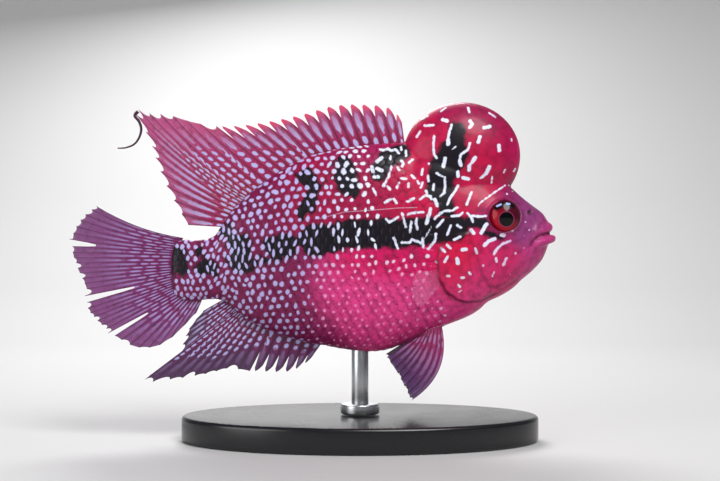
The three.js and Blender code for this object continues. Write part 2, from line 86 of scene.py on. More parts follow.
def as_seen(points):
    """Where points in mm appear on the fish's middle plane, seen level from either side."""
    stretch = DISTANCE / (DISTANCE - np.abs(points[:, 1]))
    return points[:, 0] * stretch, VIEW_HEIGHT_MID + (points[:, 2] - VIEW_HEIGHT_MID) * stretch


# %% [markdown]
# ## Helpers
# Colours are sRGB hex values as a designer would note them. Cycles counts in linear light, so one
# function turns them. Others add a shader node with its settings and links, and a few short ones name
# the nodes that every finish here is made of.

# %% Colour, node and mesh helpers
def linear(hex_colour):
    parts = [int(hex_colour[i : i + 2], 16) / 255 for i in (1, 3, 5)]
    return tuple(c / 12.92 if c <= 0.04045 else ((c + 0.055) / 1.055) ** 2.4 for c in parts)


def rgba(hex_colour):
    return (*linear(hex_colour), 1.0)


def set_sockets(tree, node, links=None, inputs=None):
    """links maps sockets to other nodes' outputs, inputs maps them to constant values."""
    for socket, value in (inputs or {}).items():
        node.inputs[socket].default_value = value
    for socket, source in (links or {}).items():
        tree.links.new(source, node.inputs[socket])


def add_node(tree, kind, links=None, inputs=None, **settings):
    node = tree.nodes.new(kind)
    for name, value in settings.items():
        setattr(node, name, value)
    set_sockets(tree, node, links, inputs)
    return node


def new_material(name, inputs):
    material = bpy.data.materials.new(name)
    material.use_nodes = True
    tree = material.node_tree
    shader = tree.nodes["Principled BSDF"]
    set_sockets(tree, shader, inputs=inputs)
    return material, tree, shader


def attribute(tree, which, output="Fac"):
    return add_node(tree, "ShaderNodeAttribute", attribute_name=which).outputs[output]


def noise(tree, size_mm, detail=3.0, stretch=(1, 1, 1)):
    """A noise in the object's own place, with spots about size_mm across."""
    place = add_node(tree, "ShaderNodeTexCoord").outputs["Object"]
    if stretch != (1, 1, 1):
        place = add_node(tree, "ShaderNodeMapping", {"Vector": place}, {"Scale": stretch}).outputs[0]
    return add_node(
        tree, "ShaderNodeTexNoise", {"Vector": place}, {"Scale": 1 / (size_mm * MM), "Detail": detail}
    ).outputs["Fac"]


def number(tree, operation, *terms):
    """Works on terms that are nodes' outputs or constants."""
    links = {k: term for k, term in enumerate(terms) if not isinstance(term, (int, float))}
    values = {k: term for k, term in enumerate(terms) if isinstance(term, (int, float))}
    return add_node(tree, "ShaderNodeMath", links, values, operation=operation).outputs[0]


def mix(tree, factor, base, other):
    """Blends two colours, each a node's output or a hex value."""
    links, values = {0: factor}, {}
    for socket, colour in ((6, base), (7, other)):
        if isinstance(colour, str):
            values[socket] = rgba(colour)
        else:
            links[socket] = colour
    return add_node(tree, "ShaderNodeMix", links, values, data_type="RGBA").outputs[2]


def ranged(tree, value, low, high, to_low=0.0, to_high=1.0, curve="LINEAR"):
    return add_node(
        tree, "ShaderNodeMapRange", {"Value": value},
        {"From Min": low, "From Max": high, "To Min": to_low, "To Max": to_high},
        interpolation_type=curve,
    ).outputs[0]


def pit(tree, shader, height, strength, depth_mm):
    """Roughens the surface by a bump."""
    bump = add_node(
        tree, "ShaderNodeBump", {"Height": height}, {"Strength": strength, "Distance": depth_mm * MM}
    )
    set_sockets(tree, shader, {"Normal": bump.outputs[0]})


def set_points(piece, points_mm):
    piece.data.vertices.foreach_set("co", (points_mm * MM).astype(np.float32).ravel())
    piece.data.update()


def get_points(piece):
    flat = np.empty(len(piece.data.vertices) * 3, dtype=np.float32)
    piece.data.vertices.foreach_get("co", flat)
    return flat.reshape(-1, 3).astype(float) / MM


def store(piece, **fields):
    """Keeps a number or a colour for each vertex under the names that the material reads."""
    for name, values in fields.items():
        if values.ndim == 1:
            layer = piece.data.attributes.new(name, "FLOAT", "POINT")
            layer.data.foreach_set("value", values.astype(np.float32))
        else:
            layer = piece.data.attributes.new(name, "FLOAT_COLOR", "POINT")
            colours = np.c_[values, np.ones(len(values))]
            layer.data.foreach_set("color", colours.astype(np.float32).ravel())


def set_map(piece, layer, by_vertex):
    """Fills a texture map's layer with each vertex's place on it."""
    index = np.empty(len(piece.data.loops), dtype=np.int32)
    piece.data.loops.foreach_get("vertex_index", index)
    layer.data.foreach_set("uv", by_vertex[index].astype(np.float32).ravel())


def new_piece(name, points_mm, faces):
    mesh = bpy.data.meshes.new(name)
    mesh.from_pydata((points_mm * MM).tolist(), [], faces)
    piece = bpy.data.objects.new(name, mesh)
    bpy.context.collection.objects.link(piece)
    return piece


def only(piece):
    clear_selection()
    piece.select_set(True)
    bpy.context.view_layer.objects.active = piece


def use_modifier(piece, kind, **settings):
    """Adds a modifier and applies it at once."""
    only(piece)
    modifier = piece.modifiers.new(kind.lower(), kind)
    for name, value in settings.items():
        setattr(modifier, name, value)
    bpy.ops.object.modifier_apply(modifier=modifier.name)


# %% [markdown]
# ## The shape of the body
# The body is a stack of rounded sections from the snout to the tail. A few stations give the height
# of the back, the height of the belly and the half width, and a smooth curve runs through them.
# They are the same stations as in the solids, so skin and solids agree.

# %% Body stations: x, back, belly, half width
BODY_STATIONS = np.array([
    [44.8, 49.1, 49.1, 0], [44.6, 50.5, 47.2, 2.0], [43.9, 52.2, 44.9, 3.5], [42.7, 53.8, 42.3, 5.0],
    [40.4, 55.5, 39.8, 6.3], [38.0, 57.4, 37.8, 7.2], [35.9, 59.3, 35.8, 7.9], [33.0, 61.2, 34.0, 8.6],
    [30.2, 62.8, 32.7, 9.0], [27.8, 64.2, 30.6, 9.2], [24.8, 65.9, 28.9, 9.3], [18.9, 68.2, 26.6, 9.2],
    [12.0, 70.0, 23.6, 9.0], [5.9, 70.0, 21.3, 8.8], [0.0, 69.4, 21.1, 8.4], [-7.6, 68.1, 22.3, 7.7],
    [-14.2, 66.1, 23.6, 6.8], [-21.2, 61.9, 25.9, 5.7], [-27.1, 57.1, 28.9, 4.6], [-30.9, 53.1, 32.5, 3.6],
    [-34.2, 48.3, 33.3, 3.0], [-37.8, 47.2, 33.1, 2.5], [-41.1, 47.2, 33.1, 2.0], [-43.2, 46.5, 34.0, 1.5],
    [-44.2, 44.4, 36.6, 1.0], [-44.6, 40.6, 40.6, 0],
])
FLANK_FULLNESS = 0.88
HUMP_CENTRE = (24.1, 67.2)
HUMP_FRONT, HUMP_REAR, HUMP_RISE, HUMP_DROP, HUMP_HALF_WIDTH = 13.7, 13.9, 12.5, 13.2, 7.8
NAPE_CENTRE = (19.5, 0, 61.5)
NAPE_RADII = (14.0, 7.9, 7.5)


def spline(rows, t):
    """A smooth curve through rows of numbers, read at t from 0 to 1."""
    rows = np.asarray(rows, dtype=float)
    last = len(rows) - 1
    place = np.clip(t, 0, 1) * last
    i = np.minimum(place.astype(int), last - 1)
    u = (place - i)[:, None]
    a, b, d, e = (rows[np.clip(i + k, 0, last)] for k in (-1, 0, 1, 2))
    return b + 0.5 * u * (d - a + u * (2 * a - 5 * b + 4 * d - e + u * (3 * (b - d) + e - a)))


def body_points(t, angle):
    """Points on the body: t runs from snout to tail, angle from the side (0) up to the back."""
    x, top, bottom, half = spline(BODY_STATIONS, t).T
    across = np.cos(angle)
    y = -half * np.sign(across) * np.abs(across) ** FLANK_FULLNESS
    return np.c_[x, y, (top + bottom) / 2 + np.sin(angle) * (top - bottom) / 2]


# %% [markdown]
# ## The skin
# A sphere is a good start for a body, because it is closed and has rows to move. One becomes the
# body, another the nuchal hump, and two rings become the lips. They are joined, and a voxel remesh
# melts them into one skin of even small faces, as flesh has no seams. A light smoothing rounds the
# creases between them.

# %% Body and hump
def new_sphere(segments, rings):
    clear_selection()
    bpy.ops.mesh.primitive_uv_sphere_add(segments=segments, ring_count=rings, radius=MM)
    return bpy.context.object


body = new_sphere(96, 120)
ball = get_points(body)
snout_to_tail = np.arccos(np.clip(ball[:, 2], -1, 1)) / np.pi
set_points(body, body_points(snout_to_tail, np.arctan2(ball[:, 1], ball[:, 0])))

hump = new_sphere(80, 60)
ball = get_points(hump)
reach = np.where(ball[:, 0] > 0, HUMP_FRONT, HUMP_REAR)
rise = np.where(ball[:, 2] > 0, HUMP_RISE, HUMP_DROP)
set_points(hump, np.c_[
    HUMP_CENTRE[0] + ball[:, 0] * reach, ball[:, 1] * HUMP_HALF_WIDTH, HUMP_CENTRE[1] + ball[:, 2] * rise
])

nape = new_sphere(64, 48)
set_points(nape, get_points(nape) * NAPE_RADII + NAPE_CENTRE)

# %% Lips
LIP_MIDDLE_X = 40.4


def lip(reach, half, height, thick, droop):
    """A ring round the snout whose rear half is hidden in the head."""
    clear_selection()
    bpy.ops.mesh.primitive_torus_add(
        major_segments=72, minor_segments=20, major_radius=2 * MM, minor_radius=MM
    )
    ring = bpy.context.object
    points = get_points(ring)
    turn = np.arctan2(points[:, 1], points[:, 0])
    out = np.hypot(points[:, 0], points[:, 1]) - 2
    set_points(ring, np.c_[
        LIP_MIDDLE_X + (reach + thick * out) * np.cos(turn),
        (half + thick * out) * np.sin(turn),
        height - droop * (1 - np.cos(turn)) + thick * points[:, 2],
    ])
    return ring


upper_lip = lip(reach=3.9, half=5.4, height=50.2, thick=1.15, droop=1.6)
lower_lip = lip(reach=4.8, half=5.6, height=47.6, thick=1.0, droop=1.4)

# %% Join and melt into one skin
VOXEL = 0.33


def face_out(piece):
    """Turns every face of a closed piece outwards."""
    only(piece)
    bpy.ops.object.mode_set(mode="EDIT")
    bpy.ops.mesh.select_all(action="SELECT")
    bpy.ops.mesh.normals_make_consistent(inside=False)
    bpy.ops.object.mode_set(mode="OBJECT")


for piece in (body, hump, nape, upper_lip, lower_lip):
    face_out(piece)
for piece in (hump, nape, upper_lip, lower_lip, body):
    piece.select_set(True)
bpy.context.view_layer.objects.active = body
bpy.ops.object.join()
skin = body
skin.name = skin.data.name = "skin"
use_modifier(skin, "REMESH", mode="VOXEL", voxel_size=VOXEL * MM)
use_modifier(skin, "SMOOTH", factor=0.5, iterations=8)
print("skin:", len(skin.data.vertices), "vertices")

# %% [markdown]
# ## Relief of the head
# Folds and edges are pressed into the skin by moving its vertices along their normals: the gill
# cover stands proud with a sharp rear edge, grooves run along the mouth and behind the cheek, the
# nostril is a small pit with a rim, and a fold rings the eye. Each is a distance from a line seen
# from the side, so a few points describe it.

# %% Distances to lines and outlines
def line_distance(x, z, path):
    path = np.asarray(path, dtype=float)
    best = np.full(len(x), 1e3)
    for (ax, az), (bx, bz) in zip(path[:-1], path[1:]):
        run = (bx - ax) ** 2 + (bz - az) ** 2
        t = np.clip(((x - ax) * (bx - ax) + (z - az) * (bz - az)) / max(run, 1e-9), 0, 1)
        best = np.minimum(best, np.hypot(x - ax - t * (bx - ax), z - az - t * (bz - az)))
    return best


def outline_distance(x, z, outline):
    """Distance to a closed outline, less than nothing inside it."""
    closed = [*outline, outline[0]]
    inside = np.zeros(len(x), dtype=bool)
    for (ax, az), (bx, bz) in zip(closed[:-1], closed[1:]):
        crosses = (az > z) != (bz > z)
        at = ax + (z - az) * (bx - ax) / ((bz - az) or 1e-9)
        inside ^= crosses & (x < at)
    return np.where(inside, -1, 1) * line_distance(x, z, closed)


def step(value, low, high):
    """0 below low, 1 above high, smooth between."""
    u = np.clip((value - low) / (high - low), 0, 1)
    return u * u * (3 - 2 * u)


def bell(distance, width):
    return np.exp(-((distance / width) ** 2))


# %% Press the relief into the skin
EYE = (34.1, 52.7)
EYE_EDGE = 3.55
NOSTRIL = (40.1, 53.7)
GILL_COVER = [
    (29.4, 48.6), (26.0, 49.2), (22.4, 48.4), (19.4, 46.2), (18.2, 42.8), (18.6, 38.1), (20.3, 35.0),
    (22.9, 33.1), (25.4, 32.5), (28.6, 32.8), (31.5, 34.4),
]
GILL_REAR = GILL_COVER[1:]
CHEEK_GROOVE = [
    (26.0, 48.6), (27.0, 45.0), (28.1, 41.9), (28.7, 39.0), (30.4, 36.2), (33.4, 35.6), (37.0, 37.8),
]
MOUTH = [(46.5, 48.9), (44.6, 48.8), (42.6, 48.3), (41.0, 47.2), (40.3, 45.8)]
MAXILLA = [(42.4, 51.4), (41.4, 49.6), (41.2, 47.2)]


def press(piece, distance):
    """Moves each vertex along its normal by a distance in mm."""
    flat = np.empty(len(piece.data.vertices) * 3, dtype=np.float32)
    piece.data.vertex_normals.foreach_get("vector", flat)
    set_points(piece, get_points(piece) + flat.reshape(-1, 3) * distance[:, None])


GILL_COVER_PROUD = 0.5
GILL_SLIT_DEPTH = 0.25
GROOVE_DEPTH = 0.22
EYE_FOLD_HEIGHT = 0.4
SOCKET_DEPTH = 1.6
NOSTRIL_RIM_HEIGHT = 0.22
NOSTRIL_DEPTH = 0.55
MAXILLA_HEIGHT = 0.25
MOUTH_DEPTH = 0.45


def head_relief(points):
    """How far each point of the skin moves out, in mm."""
    x, z = as_seen(points)
    side = step(np.abs(points[:, 1]), 1.0, 3.0)
    gill = outline_distance(x, z, GILL_COVER)
    height = GILL_COVER_PROUD * (1 - step(gill, -0.3, 0.25)) * (1 - step(x, 22.5, 29.0))
    height -= GILL_SLIT_DEPTH * bell(line_distance(x, z, GILL_REAR) * np.where(gill > 0, 1, 3), 0.5)
    height -= GROOVE_DEPTH * bell(line_distance(x, z, CHEEK_GROOVE), 0.45)
    eye = np.hypot(x - EYE[0], z - EYE[1])
    height += EYE_FOLD_HEIGHT * bell(eye - EYE_EDGE - 0.3, 0.45)
    height -= SOCKET_DEPTH * (1 - step(eye, EYE_EDGE - 0.5, EYE_EDGE))
    nose = np.hypot(x - NOSTRIL[0], z - NOSTRIL[1])
    height += NOSTRIL_RIM_HEIGHT * bell(nose - 0.75, 0.3) - NOSTRIL_DEPTH * bell(nose, 0.42)
    height += MAXILLA_HEIGHT * bell(line_distance(x, z, MAXILLA), 0.55)
    return side * height - MOUTH_DEPTH * bell(line_distance(x, z, MOUTH), 0.35)


press(skin, head_relief(get_points(skin)))
clear_selection()

# %% [markdown]
# ## Colours and markings of the fish
# The ground colour runs from crimson on the hump and gill cover over hot pink on the belly to
# maroon purple behind. It is mixed from zones, each a place and a colour. The black bars and the
# pale worm-like marks are kept as distances: the shader turns a distance into a crisp edge at any
# size, where a painted vertex colour would blur. Skin and scales ask the same functions, so the
# markings run over both.

# %% Ground colour: each pigment, where it lies thickest (a line seen from the side) and its reach
PIGMENTS = [
    ("plum behind", [(-40.0, 40.0), (-24.0, 42.0), (-18.0, 28.0)], 9.0, "#7c164e"),
    ("maroon on the rear back", [(-30.0, 53.0), (-22.0, 58.0)], 6.0, "#760c48"),
    ("crimson on the back", [(-14.0, 57.0), (-6.0, 56.0), (4.0, 57.0)], 6.5, "#a20444"),
    ("vivid crimson before the nape", [(10.0, 62.0), (13.0, 57.0), (10.0, 54.5)], 4.5, "#c40044"),
    ("maroon along the back's ridge", [(-4.0, 67.0), (8.0, 68.5)], 3.0, "#a01456"),
    ("red on the front flank", [(-2.0, 42.0), (8.0, 42.5), (17.0, 42.0)], 3.6, "#d0085c"),
    ("hot pink on the belly", [(-4.0, 35.0), (6.0, 31.0), (20.0, 31.0), (28.0, 33.5)], 6.0, "#e63e8a"),
    ("scarlet on the gill cover", [(21.0, 43.0), (22.5, 37.0), (25.0, 45.0)], 3.4, "#d0003c"),
    ("rose on the cheek", [(30.0, 45.0), (34.0, 41.0), (30.0, 37.5)], 4.2, "#cc1a5e"),
    ("dusky plum on the snout", [(37.5, 56.5), (41.5, 51.5), (38.0, 48.5)], 2.6, "#8c3874"),
    ("rose on the lips and jaw", [(45.0, 49.0), (43.0, 45.0), (39.0, 39.5)], 2.8, "#c23880"),
    ("dusk round the eye", [(30.5, 52.5), (33.0, 48.5), (35.5, 57.5)], 2.6, "#8e1258"),
    ("crimson on the hump", [(15.0, 73.0), (13.5, 67.0), (30.0, 67.0), (26.0, 60.0)], 6.0, "#bc0242"),
    ("wine on the hump's top", [(20.0, 78.5), (28.0, 77.5), (35.5, 71.0), (36.5, 66.0)], 3.2, "#9c0848"),
    ("rose on the hump's front", [(37.4, 71.5), (37.6, 66.0)], 1.6, "#cc1262"),
]


def tone(x, z):
    """The ground colour at x, z, the pigments blended by how near each one lies."""
    total = np.zeros((len(x), 3))
    weight = np.full(len(x), 1e-9)
    for _, lie, pigment_reach, colour in PIGMENTS:
        share = bell(line_distance(x, z, lie), pigment_reach) + 1e-5
        total += share[:, None] * linear(colour)
        weight += share
    return total / weight[:, None]


# %% Black bars and blotches: half width and line
BLACKS = [
    (3.7, [(-3.4, 48.6), (8.0, 48.8), (15.0, 49.2)]), (3.3, [(15.0, 49.4), (22.6, 49.9)]),
    (1.5, [(25.5, 51.3), (29.0, 50.9)]), (3.5, [(-11.6, 47.2), (-5.0, 47.6)]),
    (3.3, [(-19.5, 45.6), (-17.0, 45.4)]), (1.2, [(-25.2, 41.8), (-20.8, 42.4)]),
    (3.0, [(-28.6, 46.0), (-28.2, 42.6)]), (1.2, [(-33.0, 51.5), (-31.5, 48.5)]),
    (1.9, [(-37.2, 40.6), (-34.8, 40.4)]), (0.9, [(-37.6, 45.0), (-37.2, 43.0)]),
    (2.0, [(-42.8, 44.0), (-42.4, 39.8)]), (2.2, [(-13.2, 62.2), (-10.6, 60.4)]),
    (1.7, [(-11.0, 58.5), (-13.2, 54.0)]), (2.8, [(-3.6, 64.4), (-2.6, 60.0)]),
    (2.2, [(9.6, 67.8), (6.6, 66.5), (4.6, 63.2)]), (3.7, [(22.0, 67.6), (19.6, 63.5)]),
    (3.3, [(19.6, 63.5), (18.8, 59.0)]), (2.1, [(19.2, 58.5), (20.6, 54.0)]),
    (2.2, [(22.9, 73.0), (22.4, 69.0)]), (0.8, [(29.5, 49.0), (33.6, 47.6)]),
]


def black_distance(x, z):
    """Distance to the nearest black mark's edge, less than nothing inside it."""
    return np.min([line_distance(x, z, path) - half for half, path in BLACKS], axis=0)


# %% Pale worm-like marks on the hump, face, nape and band, by half width
WORMS = {
    0.44: [
        [(4.0, 65.7), (5.2, 66.7)], [(2.8, 64.5), (3.0, 63.4)], [(4.1, 64.1), (5.1, 63.6)],
        [(3.4, 62.1), (4.3, 62.1)], [(19.6, 75.6), (20.6, 75.3)],
        [(26.0, 75.3), (26.5, 74.5), (25.9, 73.8)], [(29.2, 73.7), (30.6, 74.0)],
        [(20.8, 70.9), (20.8, 69.8)], [(28.3, 71.6), (27.9, 70.3)], [(23.5, 66.0), (23.8, 64.8)],
        [(27.2, 66.7), (26.5, 65.7)], [(25.8, 64.6), (25.7, 63.7)], [(32.8, 69.5), (32.9, 68.3)],
        [(20.1, 66.5), (19.7, 64.6)], [(23.1, 63.2), (23.1, 62.3)], [(24.3, 61.9), (25.6, 61.6)],
        [(30.5, 64.5), (29.8, 62.9)], [(17.7, 56.8), (18.2, 55.3)], [(26.2, 49.6), (26.9, 48.8)],
        [(22.9, 42.8), (23.1, 41.6)], [(24.2, 44.9), (25.0, 45.1)], [(29.9, 51.0), (28.6, 48.9)],
        [(31.8, 47.5), (30.5, 47.0), (29.4, 46.0)], [(33.4, 48.4), (34.0, 48.3)],
        [(16.7, 54.6), (15.7, 51.2)],
    ],
    0.31: [
        [(7.2, 67.0), (7.1, 66.3)], [(9.0, 64.3), (9.1, 63.8)], [(3.1, 59.4), (3.8, 57.9)],
        [(25.5, 78.4), (25.8, 77.4)], [(15.2, 74.2), (17.3, 74.3)], [(13.4, 71.6), (14.2, 72.8)],
        [(21.6, 74.4), (21.0, 72.2), (20.7, 71.2)],
        [(17.5, 71.7), (17.3, 69.5), (17.5, 67.4), (18.1, 66.6)],
        [(25.9, 70.0), (25.5, 68.6), (23.8, 67.4), (23.5, 66.0)], [(26.5, 65.7), (25.8, 64.6)],
        [(16.3, 65.2)], [(16.0, 62.4), (16.2, 61.1)], [(17.4, 60.3), (17.3, 59.0)],
        [(18.1, 63.0), (18.9, 62.5)], [(20.0, 62.0), (20.1, 60.1), (19.9, 58.4), (19.0, 57.6)],
        [(29.8, 62.9), (28.4, 61.8)], [(23.2, 60.1), (22.4, 58.7), (21.2, 57.0), (20.6, 55.6)],
        [(26.3, 58.4), (25.7, 57.0), (25.2, 55.6)], [(12.2, 62.5), (12.9, 61.8)],
        [(13.6, 61.1), (13.8, 60.6)], [(14.8, 63.9), (14.6, 62.7)], [(14.8, 60.8), (14.4, 59.6)],
        [(15.6, 58.9), (15.8, 58.0)], [(16.5, 57.4), (16.9, 56.9)],
        [(14.2, 56.8), (15.3, 57.7), (16.7, 57.5)], [(11.1, 56.2), (12.8, 57.1)],
        [(8.0, 56.9), (8.7, 55.9)], [(5.8, 56.0), (7.1, 56.8)], [(7.4, 64.6), (6.8, 62.2), (5.4, 59.8)],
        [(9.7, 61.8), (10.9, 61.6)], [(8.9, 64.3), (9.3, 63.7)], [(9.7, 66.0), (10.3, 65.3), (9.9, 64.6)],
        [(11.6, 65.5), (12.4, 66.2)], [(9.2, 60.7), (8.7, 59.5)], [(11.5, 60.5), (11.4, 59.6)],
        [(6.6, 59.8), (7.1, 59.1)],
        [(4.7, 68.6), (5.6, 68.4), (6.6, 68.8), (7.3, 68.3), (8.4, 68.6), (9.1, 67.7)],
        [(9.7, 69.1), (9.8, 68.5)], [(10.8, 68.3), (10.9, 67.1)],
        [(6.1, 52.2), (6.9, 51.3), (7.7, 51.8), (9.1, 52.7)], [(9.9, 53.6), (10.3, 52.2), (10.8, 50.3)],
        [(12.1, 51.6), (11.8, 49.1)], [(13.4, 52.3), (13.2, 51.3), (13.6, 49.7)],
        [(11.3, 53.2), (12.9, 53.7), (14.9, 53.8)],
        [(17.6, 52.2), (18.9, 53.5), (20.0, 54.1), (21.7, 54.1), (22.9, 54.9)],
        [(21.7, 52.8), (23.4, 53.0), (24.2, 53.7)], [(18.2, 50.3), (19.6, 52.0)],
        [(21.4, 50.6), (20.6, 48.5)], [(22.9, 50.8), (23.8, 50.1)],
        [(17.9, 48.7), (17.7, 47.0), (16.1, 45.1)], [(22.2, 47.3), (23.7, 48.0)],
        [(25.4, 53.6), (26.3, 52.4), (26.7, 51.5)], [(26.3, 52.9), (28.3, 52.8), (29.7, 52.9)],
        [(20.5, 46.1), (21.4, 45.2)], [(19.1, 45.3), (20.1, 44.4)],
        [(8.0, 47.7), (8.5, 46.3), (8.9, 45.2)], [(9.9, 46.6), (11.8, 46.6), (12.2, 47.4), (14.4, 46.5)],
        [(14.8, 47.7), (14.9, 45.4)], [(35.5, 47.0), (33.6, 46.3), (32.4, 45.2), (31.6, 43.9)],
        [(20.7, 43.3), (20.0, 42.1)], [(27.2, 45.2), (27.6, 44.1)], [(34.6, 42.9), (33.8, 41.3)],
        [(32.1, 42.9), (32.3, 42.1)], [(23.9, 38.3), (24.5, 38.3)], [(36.7, 44.1)],
        [(20.6, 38.8), (21.1, 38.6)], [(25.8, 39.5), (26.1, 39.1)], [(23.2, 36.6), (23.6, 36.2)],
        [(36.0, 49.4)],
    ],
    0.19: [
        [(19.1, 77.6), (20.3, 78.4)], [(30.4, 77.3), (32.0, 76.2)], [(14.5, 75.7), (16.0, 76.5)],
        [(21.8, 68.6), (22.7, 69.4)], [(35.7, 71.1), (35.8, 70.6)], [(34.3, 63.9), (33.9, 63.1)],
        [(36.7, 64.1), (36.3, 63.4)], [(31.2, 62.2), (31.0, 60.7)], [(18.9, 62.5), (20.0, 62.0)],
        [(34.2, 60.1), (32.1, 58.7), (30.3, 57.4), (28.6, 56.2), (27.9, 55.3)], [(35.1, 60.1)],
        [(36.0, 58.7)], [(34.7, 58.1)], [(16.8, 50.3), (15.5, 48.0)], [(29.0, 41.4), (29.2, 41.0)],
        [(31.7, 39.7), (31.2, 38.7)], [(35.4, 39.1)], [(38.7, 45.4)], [(17.8, 42.3), (18.2, 41.8)],
        [(23.2, 34.9), (24.0, 35.3)], [(39.0, 51.5)], [(37.8, 52.9)], [(39.9, 49.6)], [(38.8, 48.2)],
        [(40.7, 49.1)],
    ],
}
LATERAL_LINE = [(-9.7, 52.2), (-3.8, 53.8), (3.3, 54.3), (9.4, 54.8), (13.5, 54.9)]


def worm_distance(x, z):
    """Distance to the nearest pale mark's edge. A mark of one point is a round dot."""
    return np.min([
        line_distance(x, z, path + path[-1:]) - half for half, paths in WORMS.items() for path in paths
    ], axis=0)


def above_lateral_line(x, z):
    """Height over the thin pale line of pores, or a large number past its ends."""
    line_x, line_z = np.array(LATERAL_LINE).T
    return np.where((x > line_x[0]) & (x < line_x[-1]), z - np.interp(x, line_x, line_z), 9.0)


def pale_tint(x, z):
    """The pale marks are blue white above, lavender behind and rosy on the belly."""
    belly = (1 - step(z, 36, 46)) * step(x, -16, -4) * (1 - step(x, 17, 22))
    rear = 1 - step(x, -14, 2)
    face = step(x, 30, 38) * (1 - step(z, 52, 60))
    tint = np.tile(linear("#dfe3f6"), (len(x), 1))
    for share, colour in ((rear, "#b4acdf"), (face, "#d8aed8"), (belly, "#f27ab8")):
        tint += share[:, None] * (np.array(linear(colour)) - tint)
    return tint


# %% Store them on the skin
def store_marks(piece, x, z, black_shift=0.0):
    store(
        piece, tone=tone(x, z), tint=pale_tint(x, z), black=black_distance(x, z) + black_shift,
        pale=worm_distance(x, z), pores=above_lateral_line(x, z),
    )


points = get_points(skin)
seen_x, seen_z = as_seen(points)
eye_gap = np.hypot(seen_x - EYE[0], seen_z - EYE[1]) - EYE_EDGE
store_marks(skin, seen_x, seen_z)
# Painted shade: the skin is darkened in the mouth line, the gill slit, the cheek groove, the nostril pit
# and at the eye socket's edge
store(skin, shade=np.clip(
    0.6 * bell(line_distance(seen_x, seen_z, MOUTH), 0.26)
    + 0.6 * bell(line_distance(seen_x, seen_z, GILL_REAR), 0.32)
    + 0.3 * bell(line_distance(seen_x, seen_z, CHEEK_GROOVE), 0.35)
    + bell(np.hypot(seen_x - NOSTRIL[0], seen_z - NOSTRIL[1]), 0.5)
    + 0.8 * bell(eye_gap, 0.3), 0, 1,
))
print("marks on the skin:", sum(len(paths) for paths in WORMS.values()), "pale,", len(BLACKS), "black")

# %% [markdown]
# ## Material: wet fish skin
# Live fish skin is a clear slime over pigment cells: the colour sits deep and saturated under a
# wet gloss. Fine pits break the gloss up, and a thin clear coat gives soft highlights. One function
# builds it, because the scales use the same finish, a little smoother.

# %% Wet skin and wet scale materials
PIGMENT_CELL_SIZE = 1.6
BLACK_WAVER, PALE_WAVER = 2.4, 0.5
PEARL_REACH = 0.45


def wet_material(name, roughness, coat, pit_mm, pearls):
    material, tree, shader = new_material(
        name, {"Coat Weight": coat, "Coat Roughness": 0.14, "Specular IOR Level": 0.25}
    )

    def edge(distance, waver, size_mm, low, high):
        """1 inside a mark, 0 outside, with an edge that wavers by a noise."""
        shift = number(tree, "MULTIPLY_ADD", noise(tree, size_mm), waver, distance)
        return ranged(tree, shift, high + waver / 2, low + waver / 2, curve="SMOOTHSTEP")

    def from_pearl():
        """Distance to the edge of the scale's own pearl."""
        along, across = attribute(tree, "pearl_along"), attribute(tree, "pearl_across")
        squares = [number(tree, "MULTIPLY", side, side) for side in (along, across)]
        radii = number(tree, "SQRT", number(tree, "ADD", *squares))
        return number(tree, "MULTIPLY", number(tree, "SUBTRACT", radii, 1.0), PEARL_REACH)

    cells = ranged(tree, noise(tree, PIGMENT_CELL_SIZE, 5.0), 0.42, 0.75, 0.0, 0.55)
    colour = mix(tree, cells, attribute(tree, "tone", "Color"), "#4a0428")
    black = edge(attribute(tree, "black"), BLACK_WAVER, 2.0, -0.7, 0.5)
    colour = mix(tree, black, colour, "#0b0312")
    gap = attribute(tree, "pale")
    if pearls:
        gap = number(tree, "MINIMUM", gap, from_pearl())
    pale = edge(gap, PALE_WAVER, 0.7, -0.14, 0.1)
    pores = ranged(tree, number(tree, "ABSOLUTE", attribute(tree, "pores")), 0.15, 0.05, 0.0, 0.35)
    pale = number(tree, "MAXIMUM", pale, pores)
    colour = mix(tree, pale, colour, attribute(tree, "tint", "Color"))
    # The stored shade darkens the colour. On the skin it is painted shade in the creases, and on the scales
    # it darkens their rims
    colour = mix(tree, attribute(tree, "shade"), colour, "#1c030c")
    gloss = ranged(tree, noise(tree, 1.1), 0.0, 1.0, roughness - 0.06, roughness + 0.12)
    set_sockets(tree, shader, {"Base Color": colour, "Roughness": gloss})
    pit(tree, shader, noise(tree, pit_mm, 4.0), 0.3, 0.12)
    return material


wet_skin = wet_material("wet_fish_skin", 0.44, 0.12, 0.55, pearls=False)
wet_scale = wet_material("wet_fish_scale", 0.42, 0.12, 0.4, pearls=True)


def dress(piece, material, smooth=True):
    piece.data.materials.clear()
    piece.data.materials.append(material)
    if smooth:
        only(piece)
        bpy.ops.object.shade_smooth()
    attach(piece, "root")


dress(skin, wet_skin)
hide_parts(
    "head", "lower_jaw", "nuchal_hump", "gill_cover_right", "gill_cover_left", "torso", "tail_stalk"
)

# %% [markdown]
# ## The eyes
# A fish's eye has no lids. It is a flattened ball with a clear front, a dark round pupil in a thin
# bright ring, and an iris with fine streaks. One ball with a slight bulge over the pupil carries
# all of it, and its clear coat stands for the wet cornea. The pale blue flecks along its top are a
# painted highlight: light reflected off the top of the eye, painted into the iris colour.

# %% Eyeballs
PUPIL_OFFSET = (0.3, -0.5)
EYE_CRESCENT = [(-2.0, 2.1), (-0.3, 3.0), (1.8, 2.6)]
# Two short arcs of painted highlight along the top of the iris, standing for light reflected there
EYE_HIGHLIGHT_FLECKS = [[(-1.8, 2.5), (-0.9, 2.9)], [(0.4, 3.1), (1.1, 3.0)]]


